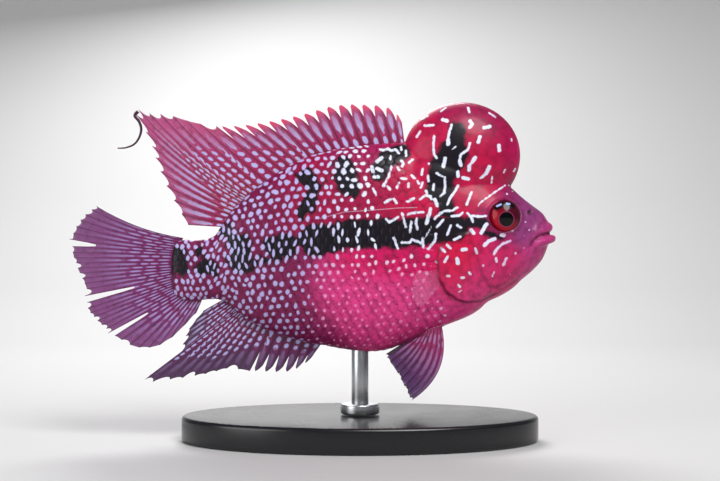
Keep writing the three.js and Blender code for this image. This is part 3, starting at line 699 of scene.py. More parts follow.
def eyeball(side_name):
    low, high = (np.array(corner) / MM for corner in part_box(f"eye_{side_name}"))
    middle, radii = (low + high) / 2, (high - low) / 2
    ball = new_sphere(96, 64)
    points = get_points(ball)
    away = np.hypot(points[:, 0], points[:, 2])
    points[:, 1] *= 1 + 0.10 * bell(away, 0.45)
    points = middle + points * radii
    set_points(ball, points)
    ball.name = ball.data.name = f"eyeball_{side_name}"
    across, up = (points[:, 0] - middle[0]), (points[:, 2] - middle[2])
    # Distance to the painted highlight arcs
    flecks = [line_distance(across, up, path) for path in EYE_HIGHLIGHT_FLECKS]
    store(
        ball, from_pupil=np.hypot(across - PUPIL_OFFSET[0], up - PUPIL_OFFSET[1]),
        crescent=line_distance(across, up, EYE_CRESCENT), fleck=np.minimum(*flecks),
        lower_left=np.clip(0.5 - across / 5 - up / 5, 0, 1),
    )
    return ball


# %% Eye material: clear cornea over a crimson iris
IRIS_MARKS = [
    ("black crescent above", "crescent", 0.3, 0.9, "#0b0308"),
    # Painted highlight: light blue flecks that stand for light reflected off the top of the eye
    ("pale flecks", "fleck", 0.14, 0.3, "#9fb4e8"),
    ("thin ring", "from_pupil", 1.8, 1.9, "#7e3050"),
    ("pupil", "from_pupil", 1.6, 1.7, "#020103"),
]
eye_material, tree, shader = new_material("wet_cornea_over_crimson_iris", {
    "Roughness": 0.22, "Coat Weight": 0.3, "Coat Roughness": 0.03, "Specular IOR Level": 0.1,
})
iris = mix(tree, attribute(tree, "lower_left"), "#4c0620", "#b80424")
iris = mix(tree, number(tree, "MULTIPLY", noise(tree, 0.5, 4.0), 0.45), iris, "#3a0410")
for _, distance, low, high, colour in IRIS_MARKS:
    iris = mix(tree, ranged(tree, attribute(tree, distance), high, low), iris, colour)
set_sockets(tree, shader, {"Base Color": iris})

for side_name in ("right", "left"):
    eye = eyeball(side_name)
    dress(eye, eye_material)
    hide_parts(f"eye_{side_name}")
print("eyes set")

# %% [markdown]
# ## The scales
# Each flank has about 710 scales, set like roof tiles: each upright row is moved half a scale
# against the next, and each scale's rear edge lies over the front of the one behind it.
# One thin closed plate is worked out and repeated, following the round of the body, so none of
# them floats. Each carries a pearl, the pale spot this fish is known for.

# %% Reading the body's surface by x and by distance round its side
GRID_X = np.linspace(-44.2, 40.0, 340)
STEP_S = 0.25
REACH_S = 32
GRID_S = np.arange(-REACH_S, REACH_S + STEP_S, STEP_S)
dense_t = np.linspace(0, 1, 4000)
dense_x = spline(BODY_STATIONS, dense_t)[:, 0]
GRID_T = np.interp(GRID_X, dense_x[::-1], dense_t[::-1])
ANGLES = np.linspace(-np.pi / 2, np.pi / 2, 361)
angle_at = np.empty((len(GRID_X), len(GRID_S)))
reach_up = np.empty(len(GRID_X))
reach_down = np.empty(len(GRID_X))
for i, t in enumerate(GRID_T):
    ring = body_points(np.full(len(ANGLES), t), ANGLES)
    run = np.r_[0, np.cumsum(np.linalg.norm(np.diff(ring, axis=0), axis=1))]
    run -= np.interp(0, ANGLES, run)
    reach_up[i], reach_down[i] = run[-1], run[0]
    angle_at[i] = np.interp(GRID_S, run, ANGLES)


def surface(x, s):
    """Points on the right flank at x, s mm up round the side from its widest line."""
    i = np.clip((x - GRID_X[0]) / (GRID_X[1] - GRID_X[0]), 0, len(GRID_X) - 1.001)
    j = np.clip((s - GRID_S[0]) / STEP_S, 0, len(GRID_S) - 1.001)
    i0, j0 = i.astype(int), j.astype(int)
    fi, fj = i - i0, j - j0
    angle = (
        angle_at[i0, j0] * (1 - fi) * (1 - fj) + angle_at[i0 + 1, j0] * fi * (1 - fj)
        + angle_at[i0, j0 + 1] * (1 - fi) * fj + angle_at[i0 + 1, j0 + 1] * fi * fj
    )
    return body_points(np.interp(x, GRID_X, GRID_T), angle)


def surface_normal(x, s):
    small = 0.2
    along = surface(x + small, s) - surface(x - small, s)
    up = surface(x, s + small) - surface(x, s - small)
    normal = np.cross(along, up)
    return normal / np.linalg.norm(normal, axis=1, keepdims=True)


# %% One scale: a rounded plate in its own measures
SCALE_PITCH = 1.98
ROW_PITCH = 1.82
ALONG = 9
ACROSS = 9
SCALE_LENGTH = 3.15
SCALE_HALF = 1.46
SCALE_THICK = 0.13
SCALE_ROOT = 0.42
SCALE_LIFT = 0.19
SCALE_SINK = 0.08
SCALE_DOME = 0.07
SCALE_RIM_SHADE = 0.16
SCALE_JITTER, SCALE_TILT = 0.05, 0.015


def scale_plan():
    """u runs from the hidden front (0) to the free rear edge (1), v across from -1 to 1."""
    u, v = np.meshgrid(np.linspace(0, 1, ALONG), np.linspace(-1, 1, ACROSS), indexing="ij")
    width = np.where(u < 0.55, 0.82 + 0.33 * u, np.sqrt(np.clip(1 - ((u - 0.55) / 0.47) ** 2, 0.0, 1)))
    return u.ravel(), v.ravel(), (v * width).ravel()


plan_u, plan_v, plan_w = scale_plan()
rim = np.maximum(np.abs(plan_v) ** 4, np.clip((plan_u - 0.6) / 0.4, 0, 1) ** 4)


def scale_faces():
    """Quads of the upper side, a rim and one face below, all facing out."""
    count = ALONG * ACROSS

    def at(i, j):
        return i * ACROSS + j

    faces = [
        (at(i, j), at(i, j + 1), at(i + 1, j + 1), at(i + 1, j))
        for i in range(ALONG - 1) for j in range(ACROSS - 1)
    ]
    border = [at(0, j) for j in range(ACROSS)] + [at(i, ACROSS - 1) for i in range(1, ALONG)]
    border += [at(ALONG - 1, j) for j in range(ACROSS - 2, -1, -1)]
    border += [at(i, 0) for i in range(ALONG - 2, 0, -1)]
    below = {k: count + n for n, k in enumerate(border)}
    loop = border + border[:1]
    faces += [(b, a, below[a], below[b]) for a, b in zip(loop[:-1], loop[1:])]
    faces.append(tuple(below[k] for k in reversed(border)))
    return faces, border


SCALE_FACES, SCALE_BORDER = scale_faces()

# %% Where the scales go
BARE_SKIN = [
    (4.0, 84.0), (9.6, 71.0), (11.4, 66.5), (15.5, 63.5), (19.5, 61.0), (20.4, 55.0), (18.4, 50.0),
    (17.6, 46.0), (17.4, 42.0), (17.8, 37.5), (19.6, 34.4), (22.7, 32.6), (26.0, 31.7), (29.2, 31.6),
    (31.0, 31.0), (50.0, 30.0), (50.0, 84.0),
]
BARE_MARGIN = 0.3
FRONT_ROW_X, LAST_ROW_X = 20.5, -42.6
ROWS_UP = 18
BELLY_GAP, BACK_GAP = 0.7, 0.5


def pitch_share(x):
    """Scales are smaller towards the tail."""
    return 0.76 + 0.24 * step(x, -42, -14)


def scale_centres():
    centres = []
    steps = [FRONT_ROW_X]
    while steps[-1] > LAST_ROW_X:
        steps.append(steps[-1] - SCALE_PITCH * pitch_share(steps[-1]) / 2)
    for k, x in enumerate(steps):
        row_gap = ROW_PITCH * pitch_share(x)
        top = np.interp(x, GRID_X, reach_up)
        bottom = np.interp(x, GRID_X, reach_down)
        for r in range(-ROWS_UP, ROWS_UP + 1):
            s = r * row_gap
            if (r + k) % 2 == 0 and bottom + BELLY_GAP < s < top - BACK_GAP:
                centres.append((x, s))
    return np.array(centres)


def kept_centres():
    centres = scale_centres()
    x, z = as_seen(surface(centres[:, 0], centres[:, 1]))
    hump_side = ((x - HUMP_CENTRE[0]) / HUMP_REAR) ** 2 + ((z - HUMP_CENTRE[1]) / HUMP_DROP) ** 2
    return centres[(outline_distance(x, z, BARE_SKIN) > BARE_MARGIN) & (hump_side > 1.0)]


centres = kept_centres()
scale_size = pitch_share(centres[:, :1])
print("scales on each flank:", len(centres))

# %% [markdown]
# Each scale behind the nape carries a pearl, an oval pale spot. Pearls are round and white on the back,
# upright dashes on the black band, small and rosy on the belly. An oval is kept as two numbers, how many
# radii a point lies along and across from its middle. The shader squares and adds them, so the spot
# stays round however coarse the plate is. Where the band crosses, whole scales turn black or stay
# clear, so each scale takes one draw that shifts the edge of the black.

# %% Pearls
PEARL_AT = 0.68
PEARL_SHIFT = 0.2
OUT_OF_SIGHT = 50.0
plate_u, plate_w, plate_rim = (np.r_[part, part[SCALE_BORDER]] for part in (plan_u, plan_w, rim))


def pearl_ovals(x, z):
    """Half length along the fish, half height and turn of each scale's pearl, in mm and radians."""
    count = len(x)
    belly = (1 - step(z, 34, 46)) * step(x, -18, -6)
    in_black = 1 - step(black_distance(x, z), -1.2, 0.4)
    back = step(z, 54, 60)
    rear = 1 - step(x, -22, -8)
    long = 0.45 - 0.12 * belly - 0.14 * in_black * (1 - back) + 0.01 * rear + 0.04 * back
    tall = 0.51 - 0.16 * belly + 0.34 * in_black * (1 - back) + 0.1 * rear + 0.04 * back
    turn = rng.normal(0, 0.25 + 0.9 * back, count)
    long = long * rng.uniform(0.72, 1.25 + 0.1 * back, count)
    tall = tall * rng.uniform(0.72, 1.3 + 0.45 * back, count)
    worms_here = (x > np.where(z > 56, 2.2, 4.6)) & (z > 43.5)
    chance = 0.05 + 0.15 * belly + 0.5 * in_black * (1 - back) * step(x, -14, -4)
    missing = rng.uniform(0, 1, count) < chance
    solid_black = (x < -36.5) & (black_distance(x, z) < -0.4)
    return long, tall, turn, worms_here | missing | solid_black


def pearl_places():
    """How many radii each point of each scale lies along and across from its pearl's middle."""
    middle_x = centres[:, 0] - (PEARL_AT - SCALE_ROOT) * SCALE_LENGTH * scale_size[:, 0]
    long, tall, turn, none = pearl_ovals(*as_seen(surface(middle_x, centres[:, 1])))
    shift = rng.normal(0, PEARL_SHIFT, (2, len(centres), 1))
    along = (plate_u - PEARL_AT) * SCALE_LENGTH * scale_size + shift[0]
    across = plate_w * SCALE_HALF * scale_size + shift[1]
    cos, sin = np.cos(turn)[:, None], np.sin(turn)[:, None]
    pearl_along = (along * cos + across * sin) / long[:, None] + np.where(none, OUT_OF_SIGHT, 0.0)[:, None]
    return pearl_along.ravel(), ((across * cos - along * sin) / tall[:, None]).ravel()


# %% Build a flank of scales
BAKE_MARGIN, BAKE_PATCH = 0.02, 0.003
BAKE_REAR, BAKE_LENGTH = -45, 70
BLACK_DRAW = 0.45


def plates():
    """Each scale's points on the right flank: its upper side, then the border of its lower side."""
    count = len(centres)
    jitter = rng.normal(0, SCALE_JITTER, (count, 2))
    x = (centres[:, :1] + jitter[:, :1] - (plan_u - SCALE_ROOT) * SCALE_LENGTH * scale_size).ravel()
    s = (centres[:, 1:] + jitter[:, 1:] + plan_w * SCALE_HALF * scale_size).ravel()
    tilt = rng.normal(0, SCALE_TILT, (count, 1))
    dome = SCALE_DOME * (1 - plan_v**2) * (1 - np.abs(plan_u - 0.6))
    height = -SCALE_SINK + (SCALE_LIFT + tilt) * plan_u + dome
    normal = surface_normal(x, s)
    upper = surface(x, s) + normal * height.reshape(-1, 1)
    lower = (upper - normal * SCALE_THICK).reshape(count, -1, 3)[:, SCALE_BORDER]
    return np.concatenate([upper.reshape(count, -1, 3), lower], axis=1)


def scale_coat(side_name, side):
    cloud = plates()
    cloud[:, :, 1] *= -side
    count, per_scale = cloud.shape[:2]
    points = cloud.reshape(-1, 3)
    x, z = as_seen(points)
    pearl_along, pearl_across = pearl_places()
    draw = np.repeat(rng.normal(0, BLACK_DRAW, count), per_scale) * (1 - step(x, -6, 4))
    faces = [
        tuple(k * per_scale + corner for corner in face[::-side])
        for k in range(count) for face in SCALE_FACES
    ]
    coat = new_piece(f"scales_{side_name}", points, faces)
    store_marks(coat, x, z, draw)
    shade = np.tile(SCALE_RIM_SHADE * plate_rim, count)
    store(coat, pearl_along=pearl_along, pearl_across=pearl_across, shade=shade)
    add_bake_map(coat, side)
    return coat


def add_bake_map(coat, side):
    """A map where each scale is a small patch at its root's place on the unrolled flank."""
    layer = coat.data.uv_layers.new(name="OFBake")
    root_u = BAKE_MARGIN + (centres[:, :1] - BAKE_REAR) / BAKE_LENGTH * (0.5 - 2 * BAKE_MARGIN)
    root_v = BAKE_MARGIN + (centres[:, 1:] - GRID_S[0]) / (2 * REACH_S) * (1 - 3 * BAKE_MARGIN)
    u = root_u + 0.5 * (side > 0) + BAKE_PATCH * plate_u
    v = root_v + BAKE_PATCH * (0.5 + 0.5 * plate_w)
    set_map(coat, layer, np.c_[u.ravel(), v.ravel()])


for side_name, side in (("right", -1), ("left", 1)):
    coat = scale_coat(side_name, side)
    dress(coat, wet_scale)
    print(coat.name, "has", sum(len(p.vertices) - 2 for p in coat.data.polygons), "triangles")

# %% [markdown]
# ## The fins
# A fin is a thin skin stretched between rays. A grid is laid out along guide rays, root to tip, so
# one side of the grid counts rays and the other runs along them. Solidify gives it thickness,
# thicker on the rays, so they stand up as ridges. The grid's own map, counted in rays and in
# millimetres, carries the dashes and spots.

# %% Fin guides: root x, z, tip x, z, and how far the ray bows forward
DORSAL_GUIDES = [
    [10.6, 69.4, 9.7, 76.0, 0], [8.5, 69.7, 6.6, 78.6, 0], [3.5, 69.4, 0.0, 79.3, 0],
    [-1.9, 68.9, -6.4, 78.9, 0], [-8.3, 67.8, -15.1, 76.5, 0], [-15.1, 65.6, -25.7, 74.6, 0],
    [-20.1, 62.6, -34.0, 74.2, 0],
    [-23.1, 60.2, -39.9, 75.2, 0.4], [-25.0, 58.6, -45.3, 76.8, 0.8], [-26.4, 57.6, -49.8, 77.2, 1.2],
    [-27.1, 56.9, -53.3, 77.9, 1.4], [-28.1, 56.2, -50.0, 71.5, 1.0], [-29.3, 55.0, -48.4, 66.8, 0.8],
    [-30.4, 53.8, -46.3, 61.2, 0.5], [-31.6, 52.2, -43.4, 55.5, 0.3], [-32.8, 50.3, -40.6, 50.8, 0],
]
CAUDAL_GUIDES = [
    [-43.0, 48.2, -62.8, 55.6, 1.2], [-43.7, 46.8, -66.3, 52.9, 0.8], [-44.1, 45.3, -68.7, 48.9, 0.4],
    [-44.6, 43.9, -68.9, 44.9, 0], [-44.6, 42.0, -68.0, 41.6, 0], [-44.5, 40.4, -66.6, 38.5, 0],
    [-44.4, 39.0, -65.1, 35.2, 0], [-44.1, 37.6, -64.9, 31.2, 0], [-43.7, 36.4, -63.0, 28.6, 0],
    [-43.2, 35.2, -60.4, 26.2, 0], [-42.2, 34.0, -57.6, 24.1, 0], [-41.1, 33.1, -52.4, 21.6, 0],
    [-39.4, 32.6, -46.0, 22.9, 0], [-37.3, 33.1, -38.7, 30.0, 0],
]
ANAL_GUIDES = [
    [-9.0, 22.9, -12.0, 18.9, 0], [-11.3, 23.2, -14.2, 17.3, 0], [-14.2, 23.6, -17.0, 16.2, 0],
    [-17.7, 24.6, -21.2, 16.1, 0], [-21.7, 26.0, -26.0, 16.3, 0], [-24.1, 27.1, -30.9, 16.9, 0],
    [-26.0, 28.1, -35.4, 15.8, 0], [-27.4, 29.1, -40.1, 14.9, 0], [-28.3, 29.8, -45.3, 14.2, 0],
    [-29.0, 30.4, -51.0, 14.0, 0], [-29.7, 30.9, -43.4, 19.4, 0], [-30.4, 31.7, -41.7, 23.4, 0],
    [-31.2, 32.4, -40.1, 26.7, 0], [-32.1, 33.3, -37.0, 30.4, 0],
]
PELVIC_GUIDES = [
    [18.4, 26.4, 11.4, 9.8, 3.6], [17.3, 26.0, 10.7, 11.6, 2.4], [15.8, 25.5, 9.2, 14.8, 1.2],
    [14.4, 24.9, 7.9, 17.3, 0.6], [13.0, 24.3, 6.0, 19.8, 0],
]
PECTORAL_GUIDES = [
    [0, 40.4, 13.4, 40.0, 0], [0, 39.4, 15.2, 37.9, 0], [0, 38.3, 15.6, 35.4, 0],
    [0, 37.2, 14.2, 33.4, 0], [0, 36.1, 10.6, 32.2, 0],
]
ROOT_SINK = 1.4
PER_RAY = 6

# %% Lay a grid along the guides
def marks_along(d, length, switch, spacing, streak_end):
    """Counts the marks from the root: ovals up to the share switch of the ray, then one long streak.
    Gives the count, half the share of its place that a mark fills, and how strong it is."""
    ovals = np.maximum(np.round(switch * length / spacing), 1)
    start, end = switch * length, streak_end * length
    in_streak = d > start
    beat = np.where(in_streak, ovals + (d - start) / np.maximum(end - start, 0.5), d / (start / ovals))
    fill = np.where(in_streak, 0.45, 0.4)
    strength = np.where(in_streak, 1 - 0.7 * (d - start) / np.maximum(end - start, 0.5), 1.0)
    return beat, fill, np.where((beat > ovals + 1) | (beat < 0), 0.0, strength)


def fin(name, guides, rays, rows, cut, place, thick, marks):
    """rays: where the rays lie along the guides, 0 to 1. cut(k, f): how much of the length is cut
    away at the share f of the way from ray k to the next. place(a, z, v): the point in mm.
    marks(k, v, d, length): what marks_along gives, and how red the edge is."""
    columns = (len(rays) - 1) * PER_RAY
    clear_selection()
    bpy.ops.mesh.primitive_grid_add(x_subdivisions=columns, y_subdivisions=rows, size=2 * MM)
    sheet = bpy.context.object
    sheet.name = sheet.data.name = name
    flat = get_points(sheet)
    count = (flat[:, 0] + 1) / 2 * (len(rays) - 1)
    down = (flat[:, 1] + 1) / 2
    k = np.minimum(np.floor(count + 1e-4).astype(int), len(rays) - 2)
    f = np.clip(count - k, 0, 1)
    s = rays[k] + (rays[k + 1] - rays[k]) * f
    a0, z0, a1, z1, bow = spline(guides, s).T
    length = np.hypot(a1 - a0, z1 - z0)
    v = down * (1 - cut(k, f))
    d = -ROOT_SINK + v * (length + ROOT_SINK)
    lean = 4 * bow * v * (1 - v)
    ax, az = (a1 - a0) / length, (z1 - z0) / length
    points = place(a0 + ax * d - az * lean, z0 + az * d + ax * lean, v)
    set_points(sheet, points)
    on_ray = bell(np.minimum(f, 1 - f) * (0.35 + length / 22), 0.17)
    weights = sheet.vertex_groups.new(name="ray")
    taper = 1 - 0.55 * v
    for index, weight in enumerate(np.clip((0.36 + 0.64 * on_ray) * taper, 0.05, 1)):
        weights.add([index], float(weight), "REPLACE")
    beat, fill, strength, red = marks(k, v, d + mark_shift[k], length)
    store(sheet, on_ray=on_ray, along=v, beat=beat, fill=fill, strength=strength, red=red)
    layer = sheet.data.uv_layers.active
    layer.name = "Rays"
    set_map(sheet, layer, np.c_[count, d])
    use_modifier(
        sheet, "SOLIDIFY", thickness=thick * MM, offset=0.0, vertex_group="ray", thickness_vertex_group=0.02
    )
    return sheet


def evenly(guides, start, end, count):
    """Places along the guides whose ray tips are evenly spaced along the fin's edge."""
    places = np.linspace(start, end, 400)
    tips = spline(guides, places)[:, 2:4]
    way = np.r_[0, np.cumsum(np.linalg.norm(np.diff(tips, axis=0), axis=1))]
    return np.interp(np.linspace(0, way[-1], count), way, places)


FRAY_STEPS = 80
fray = rng.uniform(0.0, 0.09, FRAY_STEPS)
mark_shift = rng.uniform(-0.5, 0.5, FRAY_STEPS)
mark_swing = rng.uniform(-1, 1, FRAY_STEPS)


def lobe(f, shoulder, notch):
    """The edge between two spines: a round shoulder, a tip that leans back, then a steep notch."""
    rise = shoulder * np.clip(1 - f / 0.6, 0, 1) ** 2
    back = step(f, 0.86, 1.0)
    return (rise + notch * step(f, 0.6, 0.84)) * (1 - back) + shoulder * back


def frayed(k, f, shift):
    return fray[(k + shift) % FRAY_STEPS] * np.sin(np.pi * np.clip(f, 0, 1)) ** 0.7


def wave(height, length):
    def place(x, z, v):
        return np.c_[x, height * v * v * np.sin(x / length), z]

    return place


# %% Dorsal fin: spines with a notched edge, then soft rays with a frayed edge
SPINES = 17
DORSAL_WAVE, DORSAL_WAVE_LENGTH = 0.9, 9
dorsal_rays = np.r_[evenly(DORSAL_GUIDES, 0, 6 / 15, SPINES), np.linspace(6 / 15, 1, 16)[1:]]


def dorsal_cut(k, f):
    return np.where(k < SPINES - 1, lobe(f, 0.12, 0.26), frayed(k, f, 0))


def dorsal_marks(k, v, d, length):
    soft = step(k, 11.0, 19.0)
    rear = step(k, 21.0, 26.0)
    switch = 0.3 + 0.3 * soft - 0.42 * rear + 0.05 * mark_swing[k % FRAY_STEPS]
    spacing = 2.5 - 0.5 * soft
    beat, fill, strength = marks_along(d, length, np.clip(switch, 0.12, 1), spacing, 0.84 + 0.12 * rear)
    faint = 1 - 0.55 * soft * (1 - rear) * step(v, 0.5, 0.7)
    return beat, fill, strength * faint, step(v, 0.82, 0.95) * (1 - soft)


dorsal = fin(
    "dorsal_fin_skin", DORSAL_GUIDES, dorsal_rays, rows=44, cut=dorsal_cut,
    place=wave(DORSAL_WAVE, DORSAL_WAVE_LENGTH), thick=0.72, marks=dorsal_marks,
)

# %% Caudal fin: four lobes parted by three splits
SPLITS = {2.5: 0.25, 6.5: 0.53, 9.5: 0.5}
CAUDAL_WAVE, CAUDAL_WAVE_LENGTH, CAUDAL_STILL_Z = 1.6, 7, 34
caudal_rays = np.linspace(0, 1, 34)
caudal_last = len(CAUDAL_GUIDES) - 1


def caudal_cut(k, f):
    cut = 0.03 + 0.5 * frayed(k, f, 31)
    for place, share in SPLITS.items():
        ray = np.searchsorted(caudal_rays, place / caudal_last) - 1
        cut = np.where(k == ray, share * step(f, 0, 0.25) * (1 - step(f, 0.75, 1)), cut)
    return cut


def caudal_place(x, z, v):
    return np.c_[x, CAUDAL_WAVE * v * v * np.sin((z - CAUDAL_STILL_Z) / CAUDAL_WAVE_LENGTH), z]


def caudal_marks(k, v, d, length):
    swing = mark_swing[(k + 17) % FRAY_STEPS]
    beat, fill, strength = marks_along(d, length, 0.42 + 0.16 * swing, 3.0 + 0.8 * swing, 0.8 + 0.1 * swing)
    return beat, fill * 1.1, strength * (0.8 - 0.5 * step(v, 0.4, 0.8)), np.zeros(len(v))


caudal = fin(
    "caudal_fin_skin", CAUDAL_GUIDES, caudal_rays, rows=44, cut=caudal_cut, place=caudal_place,
    thick=0.7, marks=caudal_marks,
)

# %% Anal fin: short spines, then soft rays drawn out to a point
ANAL_SPINES = 7
anal_rays = np.r_[evenly(ANAL_GUIDES, 0, 4 / 13, ANAL_SPINES), np.linspace(4 / 13, 1, 17)[1:]]


def anal_cut(k, f):
    return np.where(k < ANAL_SPINES - 1, lobe(f, 0.14, 0.42), frayed(k, f, 50))


def anal_marks(k, v, d, length):
    swing = mark_swing[(k + 9) % FRAY_STEPS]
    soft = step(k, 5.0, 9.0)
    switch = 0.4 + 0.3 * soft - 0.2 * step(k, 15.0, 20.0) + 0.04 * swing
    beat, fill, strength = marks_along(d, length, switch, 1.75, 0.92)
    streak = np.where(v > switch, 0.22 + 0.75 * step(k, 14.0, 17.0), 1)
    return beat, fill, strength * streak, np.zeros(len(v))


anal = fin(
    "anal_fin_skin", ANAL_GUIDES, anal_rays, rows=36, cut=anal_cut, place=wave(height=0.9, length=8),
    thick=0.7, marks=anal_marks,
)

# %% The dorsal fin's frayed tip ends in a thin dark curl
CURL = [
    (-52.4, 77.6), (-53.2, 76.6), (-52.2, 75.2), (-51.7, 73.4), (-52.2, 71.4), (-53.4, 69.8),
    (-55.4, 69.0), (-57.2, 68.9),
]
CURL_RINGS, CURL_SIDES = 36, 10
CURL_ROOT_RADIUS, CURL_TIP_RADIUS = 0.42, 0.16


def dorsal_curl():
    """A tapering closed tube along CURL."""
    line = spline(CURL, np.linspace(0, 1, CURL_RINGS))
    ahead = np.gradient(line, axis=0)
    ahead /= np.linalg.norm(ahead, axis=1, keepdims=True)
    radius = np.linspace(CURL_ROOT_RADIUS, CURL_TIP_RADIUS, CURL_RINGS)[:, None]
    turn = np.arange(CURL_SIDES) * 2 * np.pi / CURL_SIDES
    out, aside = radius * np.cos(turn), radius * np.sin(turn)
    x = line[:, :1] - ahead[:, 1:] * out
    z = line[:, 1:] + ahead[:, :1] * out
    y = DORSAL_WAVE * np.sin(line[:, :1] / DORSAL_WAVE_LENGTH) + aside
    cloud = np.stack([x, y, z], axis=2)
    faces = [
        (i * CURL_SIDES + j, i * CURL_SIDES + (j + 1) % CURL_SIDES,
         (i + 1) * CURL_SIDES + (j + 1) % CURL_SIDES, (i + 1) * CURL_SIDES + j)
        for i in range(CURL_RINGS - 1) for j in range(CURL_SIDES)
    ]
    last = (CURL_RINGS - 1) * CURL_SIDES
    faces += [tuple(range(CURL_SIDES))[::-1], tuple(range(last, last + CURL_SIDES))]
    tube = new_piece("dorsal_fin_curl", cloud.reshape(-1, 3), faces)
    face_out(tube)
    return tube


curl = dorsal_curl()

# %% Paired fins
PELVIC_OUT, PELVIC_CANT, PELVIC_ROOT_Z = 3.6, 0.2, 25
PECTORAL_X, PECTORAL_Y, PECTORAL_FLARE = 17.9, 8.9, 1.14


def soft_cut(k, f):
    return 0.02 + 0.6 * frayed(k, f, 12)


def faint_marks(k, v, d, length):
    beat, fill, strength = marks_along(d, length, np.full(len(v), 0.22), 2.4, 0.8)
    return beat, fill, 0.45 * strength, np.zeros(len(v))


def pelvic(side_name, side):
    def place(x, z, v):
        return np.c_[x, side * (PELVIC_OUT + PELVIC_CANT * np.maximum(PELVIC_ROOT_Z - z, 0)), z]

    return fin(
        f"pelvic_skin_{side_name}", PELVIC_GUIDES, np.linspace(0, 1, 9), rows=30, cut=soft_cut,
        place=place, thick=0.6, marks=faint_marks,
    )


def pectoral(side_name, side):
    def place(d, z, v):
        return np.c_[
            PECTORAL_X - d * np.cos(PECTORAL_FLARE), side * (PECTORAL_Y + d * np.sin(PECTORAL_FLARE)), z
        ]

    return fin(
        f"pectoral_skin_{side_name}", PECTORAL_GUIDES, np.linspace(0, 1, 14), rows=26, cut=soft_cut,
        place=place, thick=0.5, marks=faint_marks,
    )


# %% [markdown]
# ## Material: fin skin
# Fin skin is two thin layers of skin between the rays, so it lets some light through, most of it
# towards the edge. The rays are darker. Between them run lavender blue marks: the fin's own map
# counts the rays, and each point knows how many marks lie between it and the root, so an oval is
# drawn round the middle of each place.

# %% Fin material
MARK_HALF_WIDTH = 0.25


def fin_material(name, root, edge, ray, mark, rim, opacity):
    """opacity: of the root, of the edge and of the rays."""
    material, tree, shader = new_material(
        name, {"Coat Weight": 0.3, "Coat Roughness": 0.18, "Specular IOR Level": 0.35}
    )

    def math(operation, *terms):
        return number(tree, operation, *terms)

    def from_middle(value, half):
        """How far a count lies from the middle of its place, in halves of a mark."""
        return math("DIVIDE", math("ABSOLUTE", math("SUBTRACT", math("FRACT", value), 0.5)), half)

    def between(value, low, high):
        return ranged(tree, value, low, high, curve="SMOOTHSTEP")

    rays_map = add_node(tree, "ShaderNodeUVMap", uv_map="Rays").outputs[0]
    ray_count = add_node(tree, "ShaderNodeSeparateXYZ", {0: rays_map}).outputs[0]
    mottle = noise(tree, 1.1, 4.0)
    along, on_ray = attribute(tree, "along"), attribute(tree, "on_ray")
    aside = from_middle(ray_count, MARK_HALF_WIDTH)
    ahead = from_middle(attribute(tree, "beat"), attribute(tree, "fill"))
    away = math("SQRT", math("ADD", math("MULTIPLY", aside, aside), math("MULTIPLY", ahead, ahead)))
    away = math("MULTIPLY_ADD", mottle, 0.7, math("SUBTRACT", away, 0.35))
    shown = math("MULTIPLY", between(away, 1.1, 0.7), attribute(tree, "strength"))
    colour = mix(tree, between(along, 0.1, 0.95), root, edge)
    colour = mix(tree, math("MULTIPLY", between(mottle, 0.45, 0.75), 0.5), colour, ray)
    colour = mix(tree, math("MULTIPLY", between(on_ray, 0.3, 0.95), 0.7), colour, ray)
    colour = mix(tree, shown, colour, mark)
    colour = mix(tree, attribute(tree, "red"), colour, rim)
    clear = math("MULTIPLY", between(along, 0.25, 1.0), opacity[0] - opacity[1])
    solid = math("MAXIMUM", math("SUBTRACT", opacity[0], clear), math("MULTIPLY", on_ray, opacity[2]))
    gloss = ranged(tree, mottle, 0.0, 1.0, 0.3, 0.5)
    set_sockets(tree, shader, {"Base Color": colour, "Alpha": solid, "Roughness": gloss})
    pit(tree, shader, mottle, 0.2, 0.1)
    return material


# %% Fin finishes: colours of root, edge, ray, mark and rim, then the opacities
FIN_FINISHES = {
    "wet_dorsal_membrane": ("#980c4a", "#b4487e", "#560a34", "#b6b2e4", "#e0446e", (1.0, 0.86, 0.97)),
    "wet_tail_membrane": ("#76125a", "#80407c", "#48103a", "#a694ce", "#80407c", (1.0, 0.84, 0.95)),
    "wet_anal_membrane": ("#781650", "#522458", "#340a30", "#b2aee0", "#522458", (1.0, 0.86, 0.95)),
    "wet_pelvic_membrane": ("#98205e", "#5a3468", "#2c0c24", "#a89ad0", "#5a3468", (0.96, 0.8, 0.96)),
    "clear_pectoral_membrane": ("#e884b4", "#e8a4cc", "#d0649c", "#f0c0e0", "#e8a4cc", (0.16, 0.1, 0.3)),
}
dorsal_skin, tail_skin, anal_skin, pelvic_skin, pectoral_skin = (
    fin_material(name, *finish) for name, finish in FIN_FINISHES.items()
)
curl_skin = new_material("wet_dark_fin_thread", {"Base Color": rgba("#3a1030"), "Roughness": 0.4})[0]
dress(curl, curl_skin)

# %% Dress the fins
for piece, material, node in (
    (dorsal, dorsal_skin, "dorsal_fin"), (caudal, tail_skin, "caudal_fin"), (anal, anal_skin, "anal_fin")
):
    dress(piece, material)
    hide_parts(node)
for side_name, side in (("right", -1), ("left", 1)):
    piece = pelvic(side_name, side)
    dress(piece, pelvic_skin)
    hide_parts(f"pelvic_fin_{side_name}")
    piece = pectoral(side_name, side)
    dress(piece, pectoral_skin)
    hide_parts(f"pectoral_fin_{side_name}")
print("fins dressed")

# %% [markdown]
# ## The stand
# The fish swims, so a plain stand holds it: an oval base of black acrylic with a rounded edge, and
# one steel rod up to the belly, seated in a small collar. A cylinder is close to each of them. It
# is stretched to its node's box, and a bevel rounds its edges.

